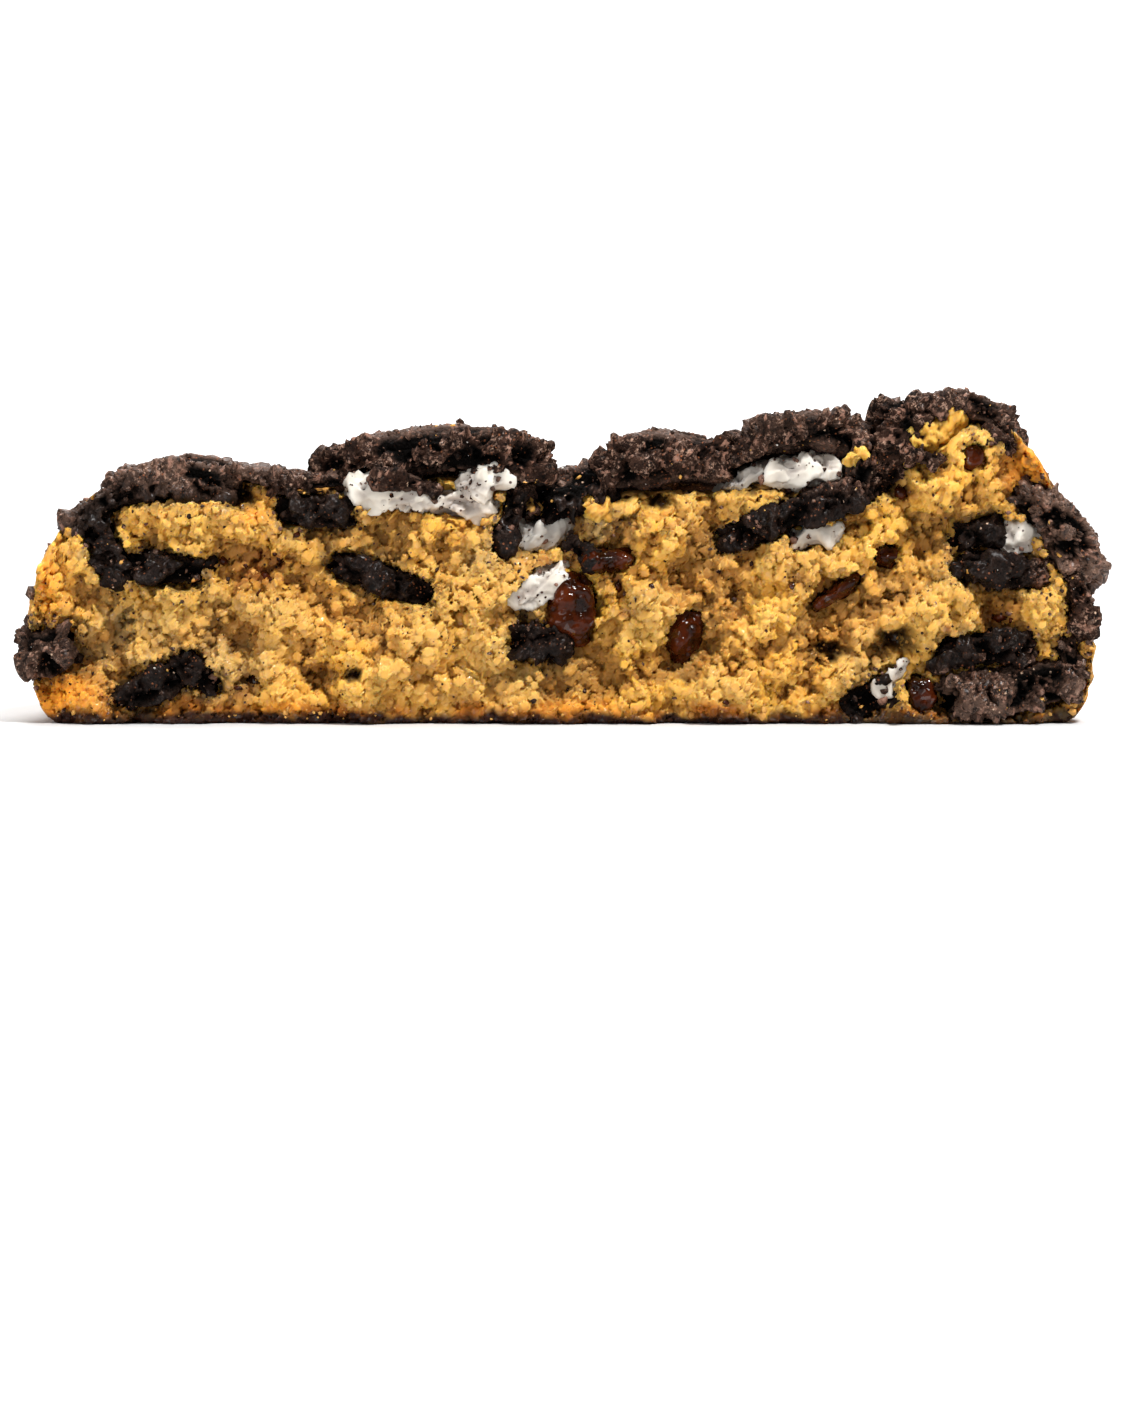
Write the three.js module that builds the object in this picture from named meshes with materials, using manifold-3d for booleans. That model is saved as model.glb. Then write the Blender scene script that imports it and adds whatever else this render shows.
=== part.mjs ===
// Half of a thick cookies and cream cookie. It lies on its flat baked base with the torn face to the front
// (-Y). Pieces of black sandwich cookie, their white cream and melted chocolate are set in the pale dough, in
// the torn face, on the top and round the rim. Millimetres, +Z up, +X to the right.
import * as THREE from "three";
import { mergeVertices } from "three/addons/utils/BufferGeometryUtils.js";
import Module from "manifold-3d";

const wasm = await Module();
wasm.setup();

const TAU = 2 * Math.PI;
const DEGREE = Math.PI / 180;

// The whole cookie, before it was broken
const RADIUS = 53.2;
const RIM_UNEVEN = 0.5;
const RIM_HEIGHT = 6;
const FOOT_ROUND = 3;
const SHOULDER_ROUND = 12;
const SHOULDER_SQUARE = 2.5;
const CROWN_HEIGHT = 23;
const CROWN_FALL = 0.1;
const CRUST_RELIEF = 0.5;

// The torn face, and how far behind it the middle of the cookie is
const BREAK_Y = -26.2;
const MIDDLE_BEHIND_BREAK = 1.8;
const COOKIE_MIDDLE_Y = BREAK_Y + MIDDLE_BEHIND_BREAK;
const TEAR_COARSE = { scale: 8.5, high: 0.7 };
const TEAR_FINE = { scale: 3.6, high: 0.4 };

// Room left between neighbouring solids
const GAP = 0.36;

// How finely the solids are faceted
const CRUST_GRID = { round: 64, foot: 3, shoulder: 5, top: 6 };
const TEAR_GRID = { across: 66, up: 22 };
const PIECE_GRID = { round: 10, rise: 4 };
const LARGE_PIECE_GRID = { round: 14, rise: 5 };
const LARGE_PIECE = 6.5;

// Swells and hollows of the top: middle x, distance behind the torn face, spread along x and back, height
const TOP_SWELLS = [
  { x: 43.6, back: 4, wide: 7.6, deep: 14, high: 8.2 },
  { x: 27, back: 8, wide: 9, deep: 12, high: 1.6 },
  { x: 0.5, back: 0, wide: 5.5, deep: 9, high: -2.4 },
  { x: -13, back: 7, wide: 10, deep: 10, high: 2.0 },
  { x: -30, back: 1, wide: 6, deep: 6, high: 1.0 },
  { x: -6, back: 30, wide: 15, deep: 12, high: 1.2 },
  { x: -24, back: 38, wide: 5, deep: 9, high: -1.4 },
  { x: 14, back: 42, wide: 6, deep: 8, high: -1.2 },
];

// Crags (out) and hollows (in) of the torn face: middle x, z, size and how far they stand out
const TEAR_CRAGS = [
  { x: -35.5, z: 20.5, size: 3.6, out: 1.5 },
  { x: -17, z: 7.5, size: 5, out: 1.7 },
  { x: -12, z: 19, size: 3, out: 1.2 },
  { x: 8.5, z: 19.5, size: 4, out: 1.6 },
  { x: 21, z: 7.5, size: 5.5, out: 1.2 },
  { x: 39, z: 24, size: 5, out: 1.4 },
  { x: 46, z: 11, size: 3, out: 1 },
  { x: 2, z: 4, size: 5, out: 0.8 },
  { x: -46, z: 10.5, size: 4.2, out: -1.4 },
  { x: -31, z: 6.5, size: 4, out: -1.4 },
  { x: -2.4, z: 19.2, size: 3.2, out: -2.2 },
  { x: 13.2, z: 8.6, size: 2.6, out: -1.6 },
  { x: 33.8, z: 8.3, size: 1.9, out: -3.2 },
  { x: 43, z: 18.4, size: 3.6, out: -1.6 },
  { x: -18, z: 14.5, size: 4, out: -1.0 },
];

// What each kind of piece is made of, how square its edges are and how ragged its outline is
const KINDS = {
  wafer: { square: 3.6, ragged: 0.1, rough: 0.2, colour: 0x211613, roughness: 0.82 },
  cream: { square: 2.8, ragged: 0.1, rough: 0.16, colour: 0xf1eee8, roughness: 0.6 },
  chocolate: { square: 2.3, ragged: 0.07, rough: 0.1, colour: 0x3a1509, roughness: 0.22 },
};
const OUTLINE_SQUARE = 3.4;

// The pieces set in the torn face. half is half the length along the face, half the depth and half the
// thickness. roll lifts the right-hand end, pitch the far side. bend is how far the ends droop. proud is how
// far the piece stands out in front of the torn face.
const TORN_PIECES = [
  // The left shoulder and the left end
  { name: "shoulder_wafer", kind: "wafer", x: -38.4, z: 24.4, half: [7.0, 7.5, 2.1],
    roll: 2, bend: 1.6, proud: 0.6 },
  { name: "shoulder_tail", kind: "wafer", x: -28.4, z: 24.7, half: [4.2, 4.4, 0.8], roll: -4, proud: 0.3 },
  { name: "shoulder_chip", kind: "wafer", x: -46.3, z: 21.4, half: [2.9, 4.2, 1.4], roll: 34, proud: 0.9 },
  { name: "upright_wafer", kind: "wafer", x: -45.1, z: 17.3, half: [3.4, 3.4, 1.7], roll: -66, proud: 0.6 },
  { name: "inner_left_wafer", kind: "wafer", x: -39.3, z: 15.5, half: [4.1, 4.2, 1.75],
    roll: -9, proud: 0.6 },
  { name: "left_end_wafer", kind: "wafer", x: -51.0, z: 7.3, half: [2.8, 4.2, 2.5], roll: 6, proud: 1.1 },
  { name: "low_left_wafer", kind: "wafer", x: -40.5, z: 3.9, half: [4.0, 4.2, 1.6], roll: 24, proud: 1.3 },
  { name: "low_left_chip", kind: "wafer", x: -36.1, z: 5.0, half: [2.4, 3.0, 1.4], roll: -42, proud: 1.0 },
  { name: "tucked_wafer", kind: "wafer", x: -24.4, z: 21.2, half: [3.9, 4.0, 1.8], roll: -4, proud: 1.0 },
  { name: "mid_left_wafer", kind: "wafer", x: -17.7, z: 14.5, half: [5.8, 4.6, 1.6],
    roll: -18, proud: 1.5 },

  // The left crown, half a sandwich cookie on the top
  { name: "left_crown_wafer", kind: "wafer", x: -12.6, z: 27.2, half: [11.4, 8.8, 2.5],
    roll: 2, bend: 1.5, proud: 1.5 },
  { name: "left_crown_lump", kind: "wafer", x: -15.2, z: 24.1, half: [3.4, 2.2, 0.9],
    roll: -8, proud: 1.9 },
  { name: "left_crown_cream", kind: "cream", x: -13.8, z: 22.6, half: [8.4, 6.4, 1.65],
    roll: -7, proud: 1.1 },
  { name: "left_crown_fold", kind: "cream", x: -7.6, z: 24.2, half: [2.8, 2.6, 1.4], roll: 18, proud: 1.6 },

  // The gap between the crowns
  { name: "gap_slab", kind: "wafer", x: -4.9, z: 20.2, half: [3.4, 3.2, 1.3], roll: 76, proud: 1.3 },
  { name: "gap_wafer", kind: "wafer", x: 1.5, z: 23.1, half: [3.7, 4.6, 2.3],
    roll: 18, pitch: 8, proud: 0.6 },
  { name: "gap_cream", kind: "cream", x: -1.5, z: 18.7, half: [2.5, 2.8, 1.6], roll: -4, proud: 1.3 },
  { name: "gap_chocolate", kind: "chocolate", x: 5.0, z: 16.4, half: [2.8, 2.2, 1.2],
    roll: 10, proud: 1.0 },

  // The middle and right crowns
  { name: "middle_crown_wafer", kind: "wafer", x: 10.9, z: 26.4, half: [6.7, 7.4, 2.6],
    roll: 4, pitch: -3, bend: 0.8, proud: 1.3 },
  { name: "right_crown_wafer", kind: "wafer", x: 23.9, z: 28.8, half: [7.4, 7.4, 2.2],
    roll: 4, pitch: -5, bend: 1.9, proud: 1.4 },
  { name: "right_crown_cream", kind: "cream", x: 24.2, z: 25.2, half: [4.0, 4.6, 1.6],
    roll: 4, proud: 1.2 },
  { name: "right_crown_strip", kind: "cream", x: 18.4, z: 24.3, half: [2.3, 3.8, 0.7],
    roll: 22, proud: 0.6 },
  { name: "right_crown_base", kind: "wafer", x: 24.4, z: 21.2, half: [9.5, 6.6, 1.8],
    roll: 20, proud: 1.3 },
  { name: "right_crown_smear", kind: "cream", x: 25.4, z: 18.6, half: [2.7, 2.8, 1.1],
    roll: 14, proud: 1.3 },

  // The melted heart of the torn face
  { name: "heart_chocolate", kind: "chocolate", x: 1.4, z: 11.7, half: [2.6, 3.0, 3.7],
    roll: -6, proud: 1.3 },
  { name: "heart_cream", kind: "cream", x: -2.0, z: 13.9, half: [3.2, 2.3, 1.35], roll: 35, proud: 1.6 },
  { name: "heart_wafer", kind: "wafer", x: -2.1, z: 8.4, half: [2.6, 2.6, 1.9], roll: -3, proud: 1.4 },
  { name: "crevice_chocolate", kind: "chocolate", x: 12.6, z: 8.8, half: [1.6, 2.4, 2.9],
    roll: -14, proud: 1.2 },
  { name: "slash_chocolate", kind: "chocolate", x: 27.6, z: 13.2, half: [2.9, 2.3, 0.85],
    roll: 33, proud: 1.1 },
  { name: "bead_chocolate", kind: "chocolate", x: 32.8, z: 16.9, half: [1.3, 1.7, 1.2],
    roll: 0, proud: 0.6 },

  // The right peak
  { name: "peak_left_wafer", kind: "wafer", x: 34.2, z: 29.1, half: [2.6, 4.2, 3.2], roll: -8, proud: 1.0 },
  { name: "peak_top_wafer", kind: "wafer", x: 40.9, z: 31.6, half: [5.5, 6.4, 1.6],
    roll: -13, pitch: -4, bend: 2.3, proud: 0.8 },
  { name: "peak_bead", kind: "chocolate", x: 41.2, z: 26.8, half: [1.25, 1.6, 1.25], roll: 10, proud: 0.8 },

  // The right rim
  { name: "rim_upper_wafer", kind: "wafer", x: 50.2, z: 19.2, half: [5.7, 7.0, 2.5],
    roll: -56, bend: 0.6, proud: 0.9 },
  { name: "rim_cream", kind: "cream", x: 45.7, z: 18.4, half: [1.8, 2.6, 1.9], roll: 8, proud: 0.8 },
  { name: "rim_inner_chip", kind: "wafer", x: 41.6, z: 18.9, half: [2.6, 2.8, 1.5], roll: 8, proud: 1.0 },
  { name: "rim_inner_wafer", kind: "wafer", x: 43.8, z: 15.4, half: [5.0, 3.8, 1.9], roll: -7, proud: 1.0 },
  { name: "rim_middle_wafer", kind: "wafer", x: 52.2, z: 11.4, half: [3.2, 5.0, 1.4],
    roll: -82, proud: 0.6 },
  { name: "heel_wafer", kind: "wafer", x: 45.2, z: 3.3, half: [8.0, 6.6, 2.6],
    roll: 9, bend: -0.5, proud: 1.2 },
  { name: "heel_upper_wafer", kind: "wafer", x: 42.6, z: 7.5, half: [4.9, 4.0, 1.8], roll: 4, proud: 1.2 },
  { name: "heel_low_wafer", kind: "wafer", x: 31.2, z: 2.6, half: [2.6, 3.0, 1.8], roll: 24, proud: 0.7 },
  { name: "heel_chocolate", kind: "chocolate", x: 36.0, z: 3.2, half: [1.5, 2.0, 2.0],
    roll: 8, proud: 0.7 },
  { name: "heel_cream", kind: "cream", x: 33.4, z: 4.7, half: [2.3, 1.6, 0.65], roll: 58, proud: 1.1 },
  { name: "heel_side_wafer", kind: "wafer", x: 51.2, z: 6.7, half: [2.3, 4.4, 1.3], roll: -78, proud: 0.8 },

  // The dark fragment that fills the notch between the right crown and the peak
  { name: "right_crown_chip", kind: "wafer", x: 30.4, z: 25.6, half: [2.6, 3.8, 1.6], roll: 70, proud: 0.6 },
];

// The pieces in the top behind the torn face. back is the distance behind it, rise how far the piece's middle
// is above the top. yaw turns the piece as seen from above.
const TOP_PIECES = [
  { name: "back_left_wafer", kind: "wafer", x: -27.0, back: 26, rise: 0.5,
    half: [8.2, 7.2, 1.65], roll: -3, pitch: -8, yaw: 24 },
  { name: "back_middle_wafer", kind: "wafer", x: 11.0, back: 27, rise: 1.9,
    half: [8.0, 6.8, 1.65], roll: 9, pitch: -12, yaw: -20 },
  { name: "back_middle_cream", kind: "cream", x: 11.6, back: 26.4, rise: -1.4,
    half: [7.6, 6.4, 1.15], roll: 9, pitch: -12, yaw: -20 },
  { name: "back_right_wafer", kind: "wafer", x: 31.0, back: 29, rise: 1.8,
    half: [7.0, 7.6, 1.65], roll: -9, pitch: -11, yaw: 12 },
  { name: "back_right_cream", kind: "cream", x: 30.6, back: 28.4, rise: -1.5,
    half: [6.7, 7.2, 1.15], roll: -9, pitch: -11, yaw: 12 },
  { name: "top_left_wafer", kind: "wafer", x: -41.5, back: 21, rise: 0.4,
    half: [5.0, 6.2, 1.6], roll: 30, pitch: -6, yaw: -12 },
  { name: "top_middle_wafer", kind: "wafer", x: -6.0, back: 42, rise: 0.3,
    half: [6.4, 5.0, 1.6], roll: 2, pitch: -26, yaw: 10 },
  { name: "top_slot_wafer", kind: "wafer", x: -4.0, back: 20, rise: 0.2,
    half: [4.2, 4.6, 1.6], roll: 22, pitch: 4, yaw: 40 },
  { name: "top_right_wafer", kind: "wafer", x: 42.5, back: 24, rise: 0.4,
    half: [4.8, 6.0, 1.6], roll: -34, pitch: -8, yaw: 14 },
];

// The pieces in the baked side. turn is where they are round the cookie, from the right to the back, rise the
// height of their middle, out how far their middle is inside the rim, and roll their turn in the side.
const SIDE_PIECES = [
  { name: "side_left_wafer", kind: "wafer", turn: 141, rise: 12, inside: 0.6,
    half: [5.2, 1.8, 3.4], roll: 64 },
  { name: "side_back_wafer", kind: "wafer", turn: 74, rise: 9, inside: 0.4,
    half: [6.0, 1.8, 2.6], roll: 12 },
  { name: "side_right_wafer", kind: "wafer", turn: 38, rise: 10, inside: 0.4,
    half: [5.2, 1.8, 3.0], roll: -24 },
];

const GOLDEN_ANGLE = 2.399963;
const RIPPLE_WAVES = 4;

// A smooth uneven value between about -1 and 1: the sum of four plane waves in spread directions.
function ripple(x, y, z, scale, seed) {
  let sum = 0;
  for (let wave = 1; wave <= RIPPLE_WAVES; wave++) {
    const turn = seed + GOLDEN_ANGLE * wave;
    const lift = 1.3 * wave + 2 * seed;
    const level = Math.cos(turn) * x + Math.sin(turn) * z;
    const along = Math.cos(lift) * level + Math.sin(lift) * y;
    sum += Math.sin((TAU * along) / scale + 5.1 * turn);
  }
  return sum / 3.2;
}

// A bell-shaped swell of height 1, which fades over its size in two directions.
const bell = (dx, dy, wide, deep) => Math.exp(-((dx / wide) ** 2) - (dy / deep) ** 2);

// A power of a sine or cosine that keeps its sign. It makes circles squarer.
const squared = (value, power) => Math.sign(value) * Math.abs(value) ** power;

// The cookie's outline is a slightly uneven circle.
function rimRadius(angle) {
  return RADIUS + RIM_UNEVEN * (Math.sin(3 * angle - 0.2) + 0.7 * Math.sin(7 * angle + 2.1));
}

// Height of the crown over x, y, before the shoulder is rounded.
function crownHeight(x, y) {
  const back = y - BREAK_Y;
  const swells = TOP_SWELLS.map((s) => s.high * bell(x - s.x, back - s.back, s.wide, s.deep));
  return CROWN_HEIGHT - CROWN_FALL * back + swells.reduce((a, b) => a + b, 0);
}

// Height of the top over x, y, with the rounded shoulder.
function topHeight(x, y) {
  const angle = Math.atan2(y - COOKIE_MIDDLE_Y, x);
  const inside = rimRadius(angle) - Math.hypot(x, y - COOKIE_MIDDLE_Y);
  const over = Math.min(1, Math.max(0, 1 - inside / SHOULDER_ROUND));
  const lift = (1 - over ** SHOULDER_SQUARE) ** (1 / SHOULDER_SQUARE);
  const relief = CRUST_RELIEF * lift * ripple(x, y, 0, 9, 0.4);
  return RIM_HEIGHT + (crownHeight(x, y) - RIM_HEIGHT) * lift + relief;
}

// The torn face: its y over x, z. Crags stand out to the front, hollows go in.
function tearY(x, z) {
  const crags = TEAR_CRAGS.map((c) => c.out * bell(x - c.x, z - c.z, c.size, c.size));
  const coarse = TEAR_COARSE.high * ripple(x, 0, z, TEAR_COARSE.scale, 1.7);
  const fine = TEAR_FINE.high * ripple(x, 0, z, TEAR_FINE.scale, 4.2);
  return BREAK_Y - crags.reduce((a, b) => a + b, 0) - coarse - fine;
}

// A closed solid from rings of points. The first and the last ring are single points.
function ringsGeometry(rings) {
  const positions = [];
  const triangle = (a, b, c) => positions.push(...a, ...b, ...c);
  for (let row = 0; row < rings.length - 1; row++) {
    const low = rings[row];
    const high = rings[row + 1];
    const count = Math.max(low.length, high.length);
    for (let i = 0; i < count; i++) {
      const j = (i + 1) % count;
      if (low.length === 1) triangle(low[0], high[j], high[i]);
      else if (high.length === 1) triangle(low[i], low[j], high[0]);
      else {
        triangle(low[i], low[j], high[j]);
        triangle(low[i], high[j], high[i]);
      }
    }
  }
  return closedGeometry(positions);
}

function closedGeometry(positions) {
  const geometry = new THREE.BufferGeometry();
  geometry.setAttribute("position", new THREE.Float32BufferAttribute(positions, 3));
  return mergeVertices(geometry, 1e-4);
}

// The whole cookie: flat base, rounded foot, widest at the rim, rounded shoulder and an uneven top.
function cookieGeometry() {
  const { round, foot, shoulder, top } = CRUST_GRID;
  const quarter = (step, steps) => ((step / steps) * TAU) / 4;
  const stations = [{ inside: RADIUS, z: 0 }, { inside: FOOT_ROUND, z: 0 }];
  for (let i = 1; i <= foot; i++) {
    const turn = quarter(i, foot);
    stations.push({ inside: FOOT_ROUND * (1 - Math.sin(turn)), z: RIM_HEIGHT * (1 - Math.cos(turn)) });
  }
  for (let i = 1; i <= shoulder; i++) {
    const over = Math.cos(quarter(i, shoulder)) ** (2 / SHOULDER_SQUARE);
    stations.push({ inside: SHOULDER_ROUND * (1 - over) });
  }
  for (let i = 1; i <= top; i++) {
    stations.push({ inside: SHOULDER_ROUND + (RADIUS - SHOULDER_ROUND) * (i / top) });
  }
  const rings = stations.map(({ inside, z }) => {
    const count = inside === RADIUS ? 1 : round;
    return Array.from({ length: count }, (_, i) => {
      const angle = (TAU * i) / count;
      const out = rimRadius(angle) * (1 - inside / RADIUS);
      const x = out * Math.cos(angle);
      const y = COOKIE_MIDDLE_Y + out * Math.sin(angle);
      return [x, y, z ?? topHeight(x, y)];
    });
  });
  return ringsGeometry(rings);
}

// The block that the torn face is cut with: its back is the torn face itself.
function tearBlockGeometry() {
  const { across, up } = TEAR_GRID;
  const reach = RADIUS + 6;
  const low = -4;
  const high = 44;
  const front = BREAK_Y - 2 * RADIUS;
  const positions = [];
  const quad = (a, b, c, d) => positions.push(...a, ...b, ...c, ...a, ...c, ...d);
  const pulled = ([x, , z]) => [x, front, z];
  const point = (i, j) => {
    const x = -reach + (2 * reach * i) / across;
    const z = low + ((high - low) * j) / up;
    return [x, tearY(x, z), z];
  };
  for (let i = 0; i < across; i++) {
    for (let j = 0; j < up; j++) {
      const [a, b, c, d] = [point(i, j), point(i, j + 1), point(i + 1, j + 1), point(i + 1, j)];
      quad(a, b, c, d);
      quad(pulled(d), pulled(c), pulled(b), pulled(a));
    }
    quad(point(i, 0), point(i + 1, 0), pulled(point(i + 1, 0)), pulled(point(i, 0)));
    quad(point(i + 1, up), point(i, up), pulled(point(i, up)), pulled(point(i + 1, up)));
  }
  for (let j = 0; j < up; j++) {
    quad(point(0, j + 1), point(0, j), pulled(point(0, j)), pulled(point(0, j + 1)));
    quad(point(across, j), point(across, j + 1), pulled(point(across, j + 1)), pulled(point(across, j)));
  }
  return closedGeometry(positions);
}

// A broken piece: a slab with a squarish ragged outline and rounded edges, drooping at its ends. swell makes
// it larger all round.
function pieceGeometry(piece, seed, swell = 0) {
  const kind = KINDS[piece.kind];
  const [along, deep, thick] = piece.half;
  const grid = along >= LARGE_PIECE ? LARGE_PIECE_GRID : PIECE_GRID;
  const rings = [];
  for (let row = 0; row <= grid.rise; row++) {
    const climb = (TAU / 2) * (row / grid.rise - 0.5);
    const pole = row === 0 || row === grid.rise;
    const out = pole ? 0 : Math.cos(climb) ** (2 / kind.square);
    const lift = squared(Math.sin(climb), 2 / kind.square);
    const ring = [];
    for (let i = 0; i < (pole ? 1 : grid.round); i++) {
      const angle = (TAU * (i + 0.5)) / grid.round;
      const slow = Math.sin(2 * angle + seed) + Math.sin(3 * angle + 2.3 * seed);
      const waves = slow + 0.7 * Math.sin(5 * angle + 4.1 * seed);
      const edge = out * (1 + (kind.ragged * waves) / 1.6);
      const u = (along + swell) * edge * squared(Math.cos(angle), 2 / OUTLINE_SQUARE);
      const v = (deep + swell) * edge * squared(Math.sin(angle), 2 / OUTLINE_SQUARE);
      const uneven = 1 + kind.rough * ripple(u, v, 3 * lift, 1.3 * along, seed);
      ring.push([u, v, (thick + swell) * lift * uneven - (piece.bend ?? 0) * (u / along) ** 2]);
    }
    rings.push(ring);
  }
  return ringsGeometry(rings);
}

// Where each piece goes, as a place and three turns
function tornPlace({ x, z, half, proud }) {
  return [x, tearY(x, z) + half[1] - proud, z];
}

function topPlace({ x, back, rise }) {
  return [x, BREAK_Y + back, topHeight(x, BREAK_Y + back) + rise];
}

function sidePlace({ turn, rise, inside }) {
  const angle = turn * DEGREE;
  const lift = (rise - RIM_HEIGHT) / (CROWN_HEIGHT - CROWN_FALL * RADIUS - RIM_HEIGHT);
  const over = (1 - lift ** SHOULDER_SQUARE) ** (1 / SHOULDER_SQUARE);
  const out = rimRadius(angle) - SHOULDER_ROUND * (1 - over) - inside;
  return [out * Math.cos(angle), COOKIE_MIDDLE_Y + out * Math.sin(angle), rise];
}

function pieceMesh(piece, place, yaw, index) {
  const { colour, roughness } = KINDS[piece.kind];
  const material = new THREE.MeshStandardMaterial({ color: colour, roughness, metalness: 0 });
  const mesh = new THREE.Mesh(pieceGeometry(piece, index), material);
  mesh.name = piece.name;
  mesh.position.set(...place);
  mesh.rotation.set((piece.pitch ?? 0) * DEGREE, -piece.roll * DEGREE, yaw * DEGREE, "ZYX");
  mesh.updateMatrix();
  return mesh;
}

const everyPiece = [
  ...TORN_PIECES.map((piece) => ({ piece, place: tornPlace(piece), yaw: 0 })),
  ...TOP_PIECES.map((piece) => ({ piece, place: topPlace(piece), yaw: piece.yaw })),
  ...SIDE_PIECES.map((piece) => ({ piece, place: sidePlace(piece), yaw: piece.turn - 90 })),
];

// Between three.js geometry and the solids that are cut
function solidOf(geometry, matrix = new THREE.Matrix4()) {
  const vertProperties = new Float32Array(geometry.getAttribute("position").array);
  const triVerts = new Uint32Array(geometry.index.array);
  const solid = new wasm.Manifold(new wasm.Mesh({ numProp: 3, vertProperties, triVerts }));
  return solid.transform(matrix.elements);
}

function geometryOf(solid) {
  const mesh = solid.getMesh();
  const geometry = new THREE.BufferGeometry();
  geometry.setAttribute("position", new THREE.BufferAttribute(mesh.vertProperties, 3));
  geometry.setIndex(new THREE.BufferAttribute(mesh.triVerts, 1));
  geometry.computeVertexNormals();
  return geometry;
}

// Cutting can leave crumbs behind: the largest body is kept.
function largestBody(solid) {
  return solid.decompose().reduce((a, b) => (b.volume() > a.volume() ? b : a));
}

// Wafers keep their shape, and cream and then chocolate are cut back to leave room for them.
const ORDER = ["wafer", "cream", "chocolate"];
const inOrder = everyPiece.map((entry, index) => ({ ...entry, index }));
inOrder.sort((a, b) => ORDER.indexOf(a.piece.kind) - ORDER.indexOf(b.piece.kind));

const pieces = new THREE.Group();
pieces.name = "pieces";
const rooms = [];
for (const { piece, place, yaw, index } of inOrder) {
  const mesh = pieceMesh(piece, place, yaw, index);
  const whole = solidOf(mesh.geometry, mesh.matrix);
  const neighbours = rooms.filter((room) => whole.intersect(room).volume() > 0);
  if (neighbours.length) {
    const cut = neighbours.reduce((solid, room) => solid.subtract(room), whole);
    const local = largestBody(cut).transform(mesh.matrix.clone().invert().elements);
    mesh.geometry = geometryOf(local);
  }
  rooms.push(solidOf(pieceGeometry(piece, index, GAP), mesh.matrix));
  pieces.add(mesh);
}

const half = solidOf(cookieGeometry()).subtract(solidOf(tearBlockGeometry()));
const pocketed = rooms.reduce((solid, room) => solid.subtract(room), half);
const doughMaterial = new THREE.MeshStandardMaterial({ color: 0xdcae5c, roughness: 0.62, metalness: 0 });
const dough = new THREE.Mesh(geometryOf(largestBody(pocketed)), doughMaterial);
dough.name = "dough";

const halfCookie = new THREE.Group();
halfCookie.name = "half_cookie";
halfCookie.add(dough, pieces);

export default halfCookie;
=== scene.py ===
# %% [markdown]
# Half of a thick cookies and cream cookie, torn by hand. The torn face looks at the camera: a moist,
# grainy golden crumb, with broken black wafers, white cream and melted chocolate set in it. The top and
# the side are baked crust with more wafers. The solids of the part give every place and size. This script
# gives each of them its real surface.

# %% Load the frame
import math
from itertools import product

import bpy
import numpy as np
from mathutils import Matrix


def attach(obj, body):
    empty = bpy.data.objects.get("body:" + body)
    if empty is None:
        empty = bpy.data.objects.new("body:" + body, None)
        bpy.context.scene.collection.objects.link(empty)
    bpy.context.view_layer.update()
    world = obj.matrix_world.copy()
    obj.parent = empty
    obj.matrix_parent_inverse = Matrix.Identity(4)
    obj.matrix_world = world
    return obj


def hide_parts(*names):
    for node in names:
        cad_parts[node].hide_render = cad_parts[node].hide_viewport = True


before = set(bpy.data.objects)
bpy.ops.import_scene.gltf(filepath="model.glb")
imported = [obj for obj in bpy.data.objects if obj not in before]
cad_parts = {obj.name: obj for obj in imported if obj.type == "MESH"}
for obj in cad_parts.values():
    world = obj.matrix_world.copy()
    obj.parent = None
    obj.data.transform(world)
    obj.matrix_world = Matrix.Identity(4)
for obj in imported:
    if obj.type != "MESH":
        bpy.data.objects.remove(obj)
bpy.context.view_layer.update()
MM = 0.001
TAU = 2 * math.pi
print("nodes in the frame:", len(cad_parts))

# %% [markdown]
# The dough has the same driving sizes as its solid, in millimetres: a round cookie with a flat base, a
# rounded foot, a squarish shoulder and an uneven crown. It is torn along a plane just in front of its
# middle. Repeating the formulas, in place of reading the coarse faces back, lets every surface here be as
# fine as it needs.

# %% Sizes of the cookie
RADIUS = 53.2
RIM_UNEVEN = 0.5
RIM_HEIGHT = 6
FOOT_ROUND = 3
SHOULDER_ROUND = 12
SHOULDER_SQUARE = 2.5
CROWN_HEIGHT = 23
CROWN_FALL = 0.1
CRUST_RELIEF = 0.5
BREAK_Y = -26.2
COOKIE_MIDDLE_Y = BREAK_Y + 1.8
# The tear's two ripples: their length and their height
TEAR_COARSE = (8.5, 0.7)
TEAR_FINE = (3.6, 0.4)

# Swells of the top: middle x, distance behind the torn face, spread along x and to the back, height
TOP_SWELLS = np.array([
    (43.6, 4, 7.6, 14, 8.2),
    (27, 8, 9, 12, 1.6),
    (0.5, 0, 5.5, 9, -2.4),
    (-13, 7, 10, 10, 2.0),
    (-30, 1, 6, 6, 1.0),
    (-6, 30, 15, 12, 1.2),
    (-24, 38, 5, 9, -1.4),
    (14, 42, 6, 8, -1.2),
])

# Crags of the torn face: middle x, z, size and how far they stand out
TEAR_CRAGS = np.array([
    (-35.5, 20.5, 3.6, 1.5),
    (-17, 7.5, 5, 1.7),
    (-12, 19, 3, 1.2),
    (8.5, 19.5, 4, 1.6),
    (21, 7.5, 5.5, 1.2),
    (39, 24, 5, 1.4),
    (46, 11, 3, 1),
    (2, 4, 5, 0.8),
    (-46, 10.5, 4.2, -1.4),
    (-31, 6.5, 4, -1.4),
    (-2.4, 19.2, 3.2, -2.2),
    (13.2, 8.6, 2.6, -1.6),
    (33.8, 8.3, 1.9, -3.2),
    (43, 18.4, 3.6, -1.6),
    (-18, 14.5, 4, -1.0),
])
print("cookie: %.1f mm across, torn %.1f mm before its middle" % (2 * RADIUS, COOKIE_MIDDLE_Y - BREAK_Y))

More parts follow.
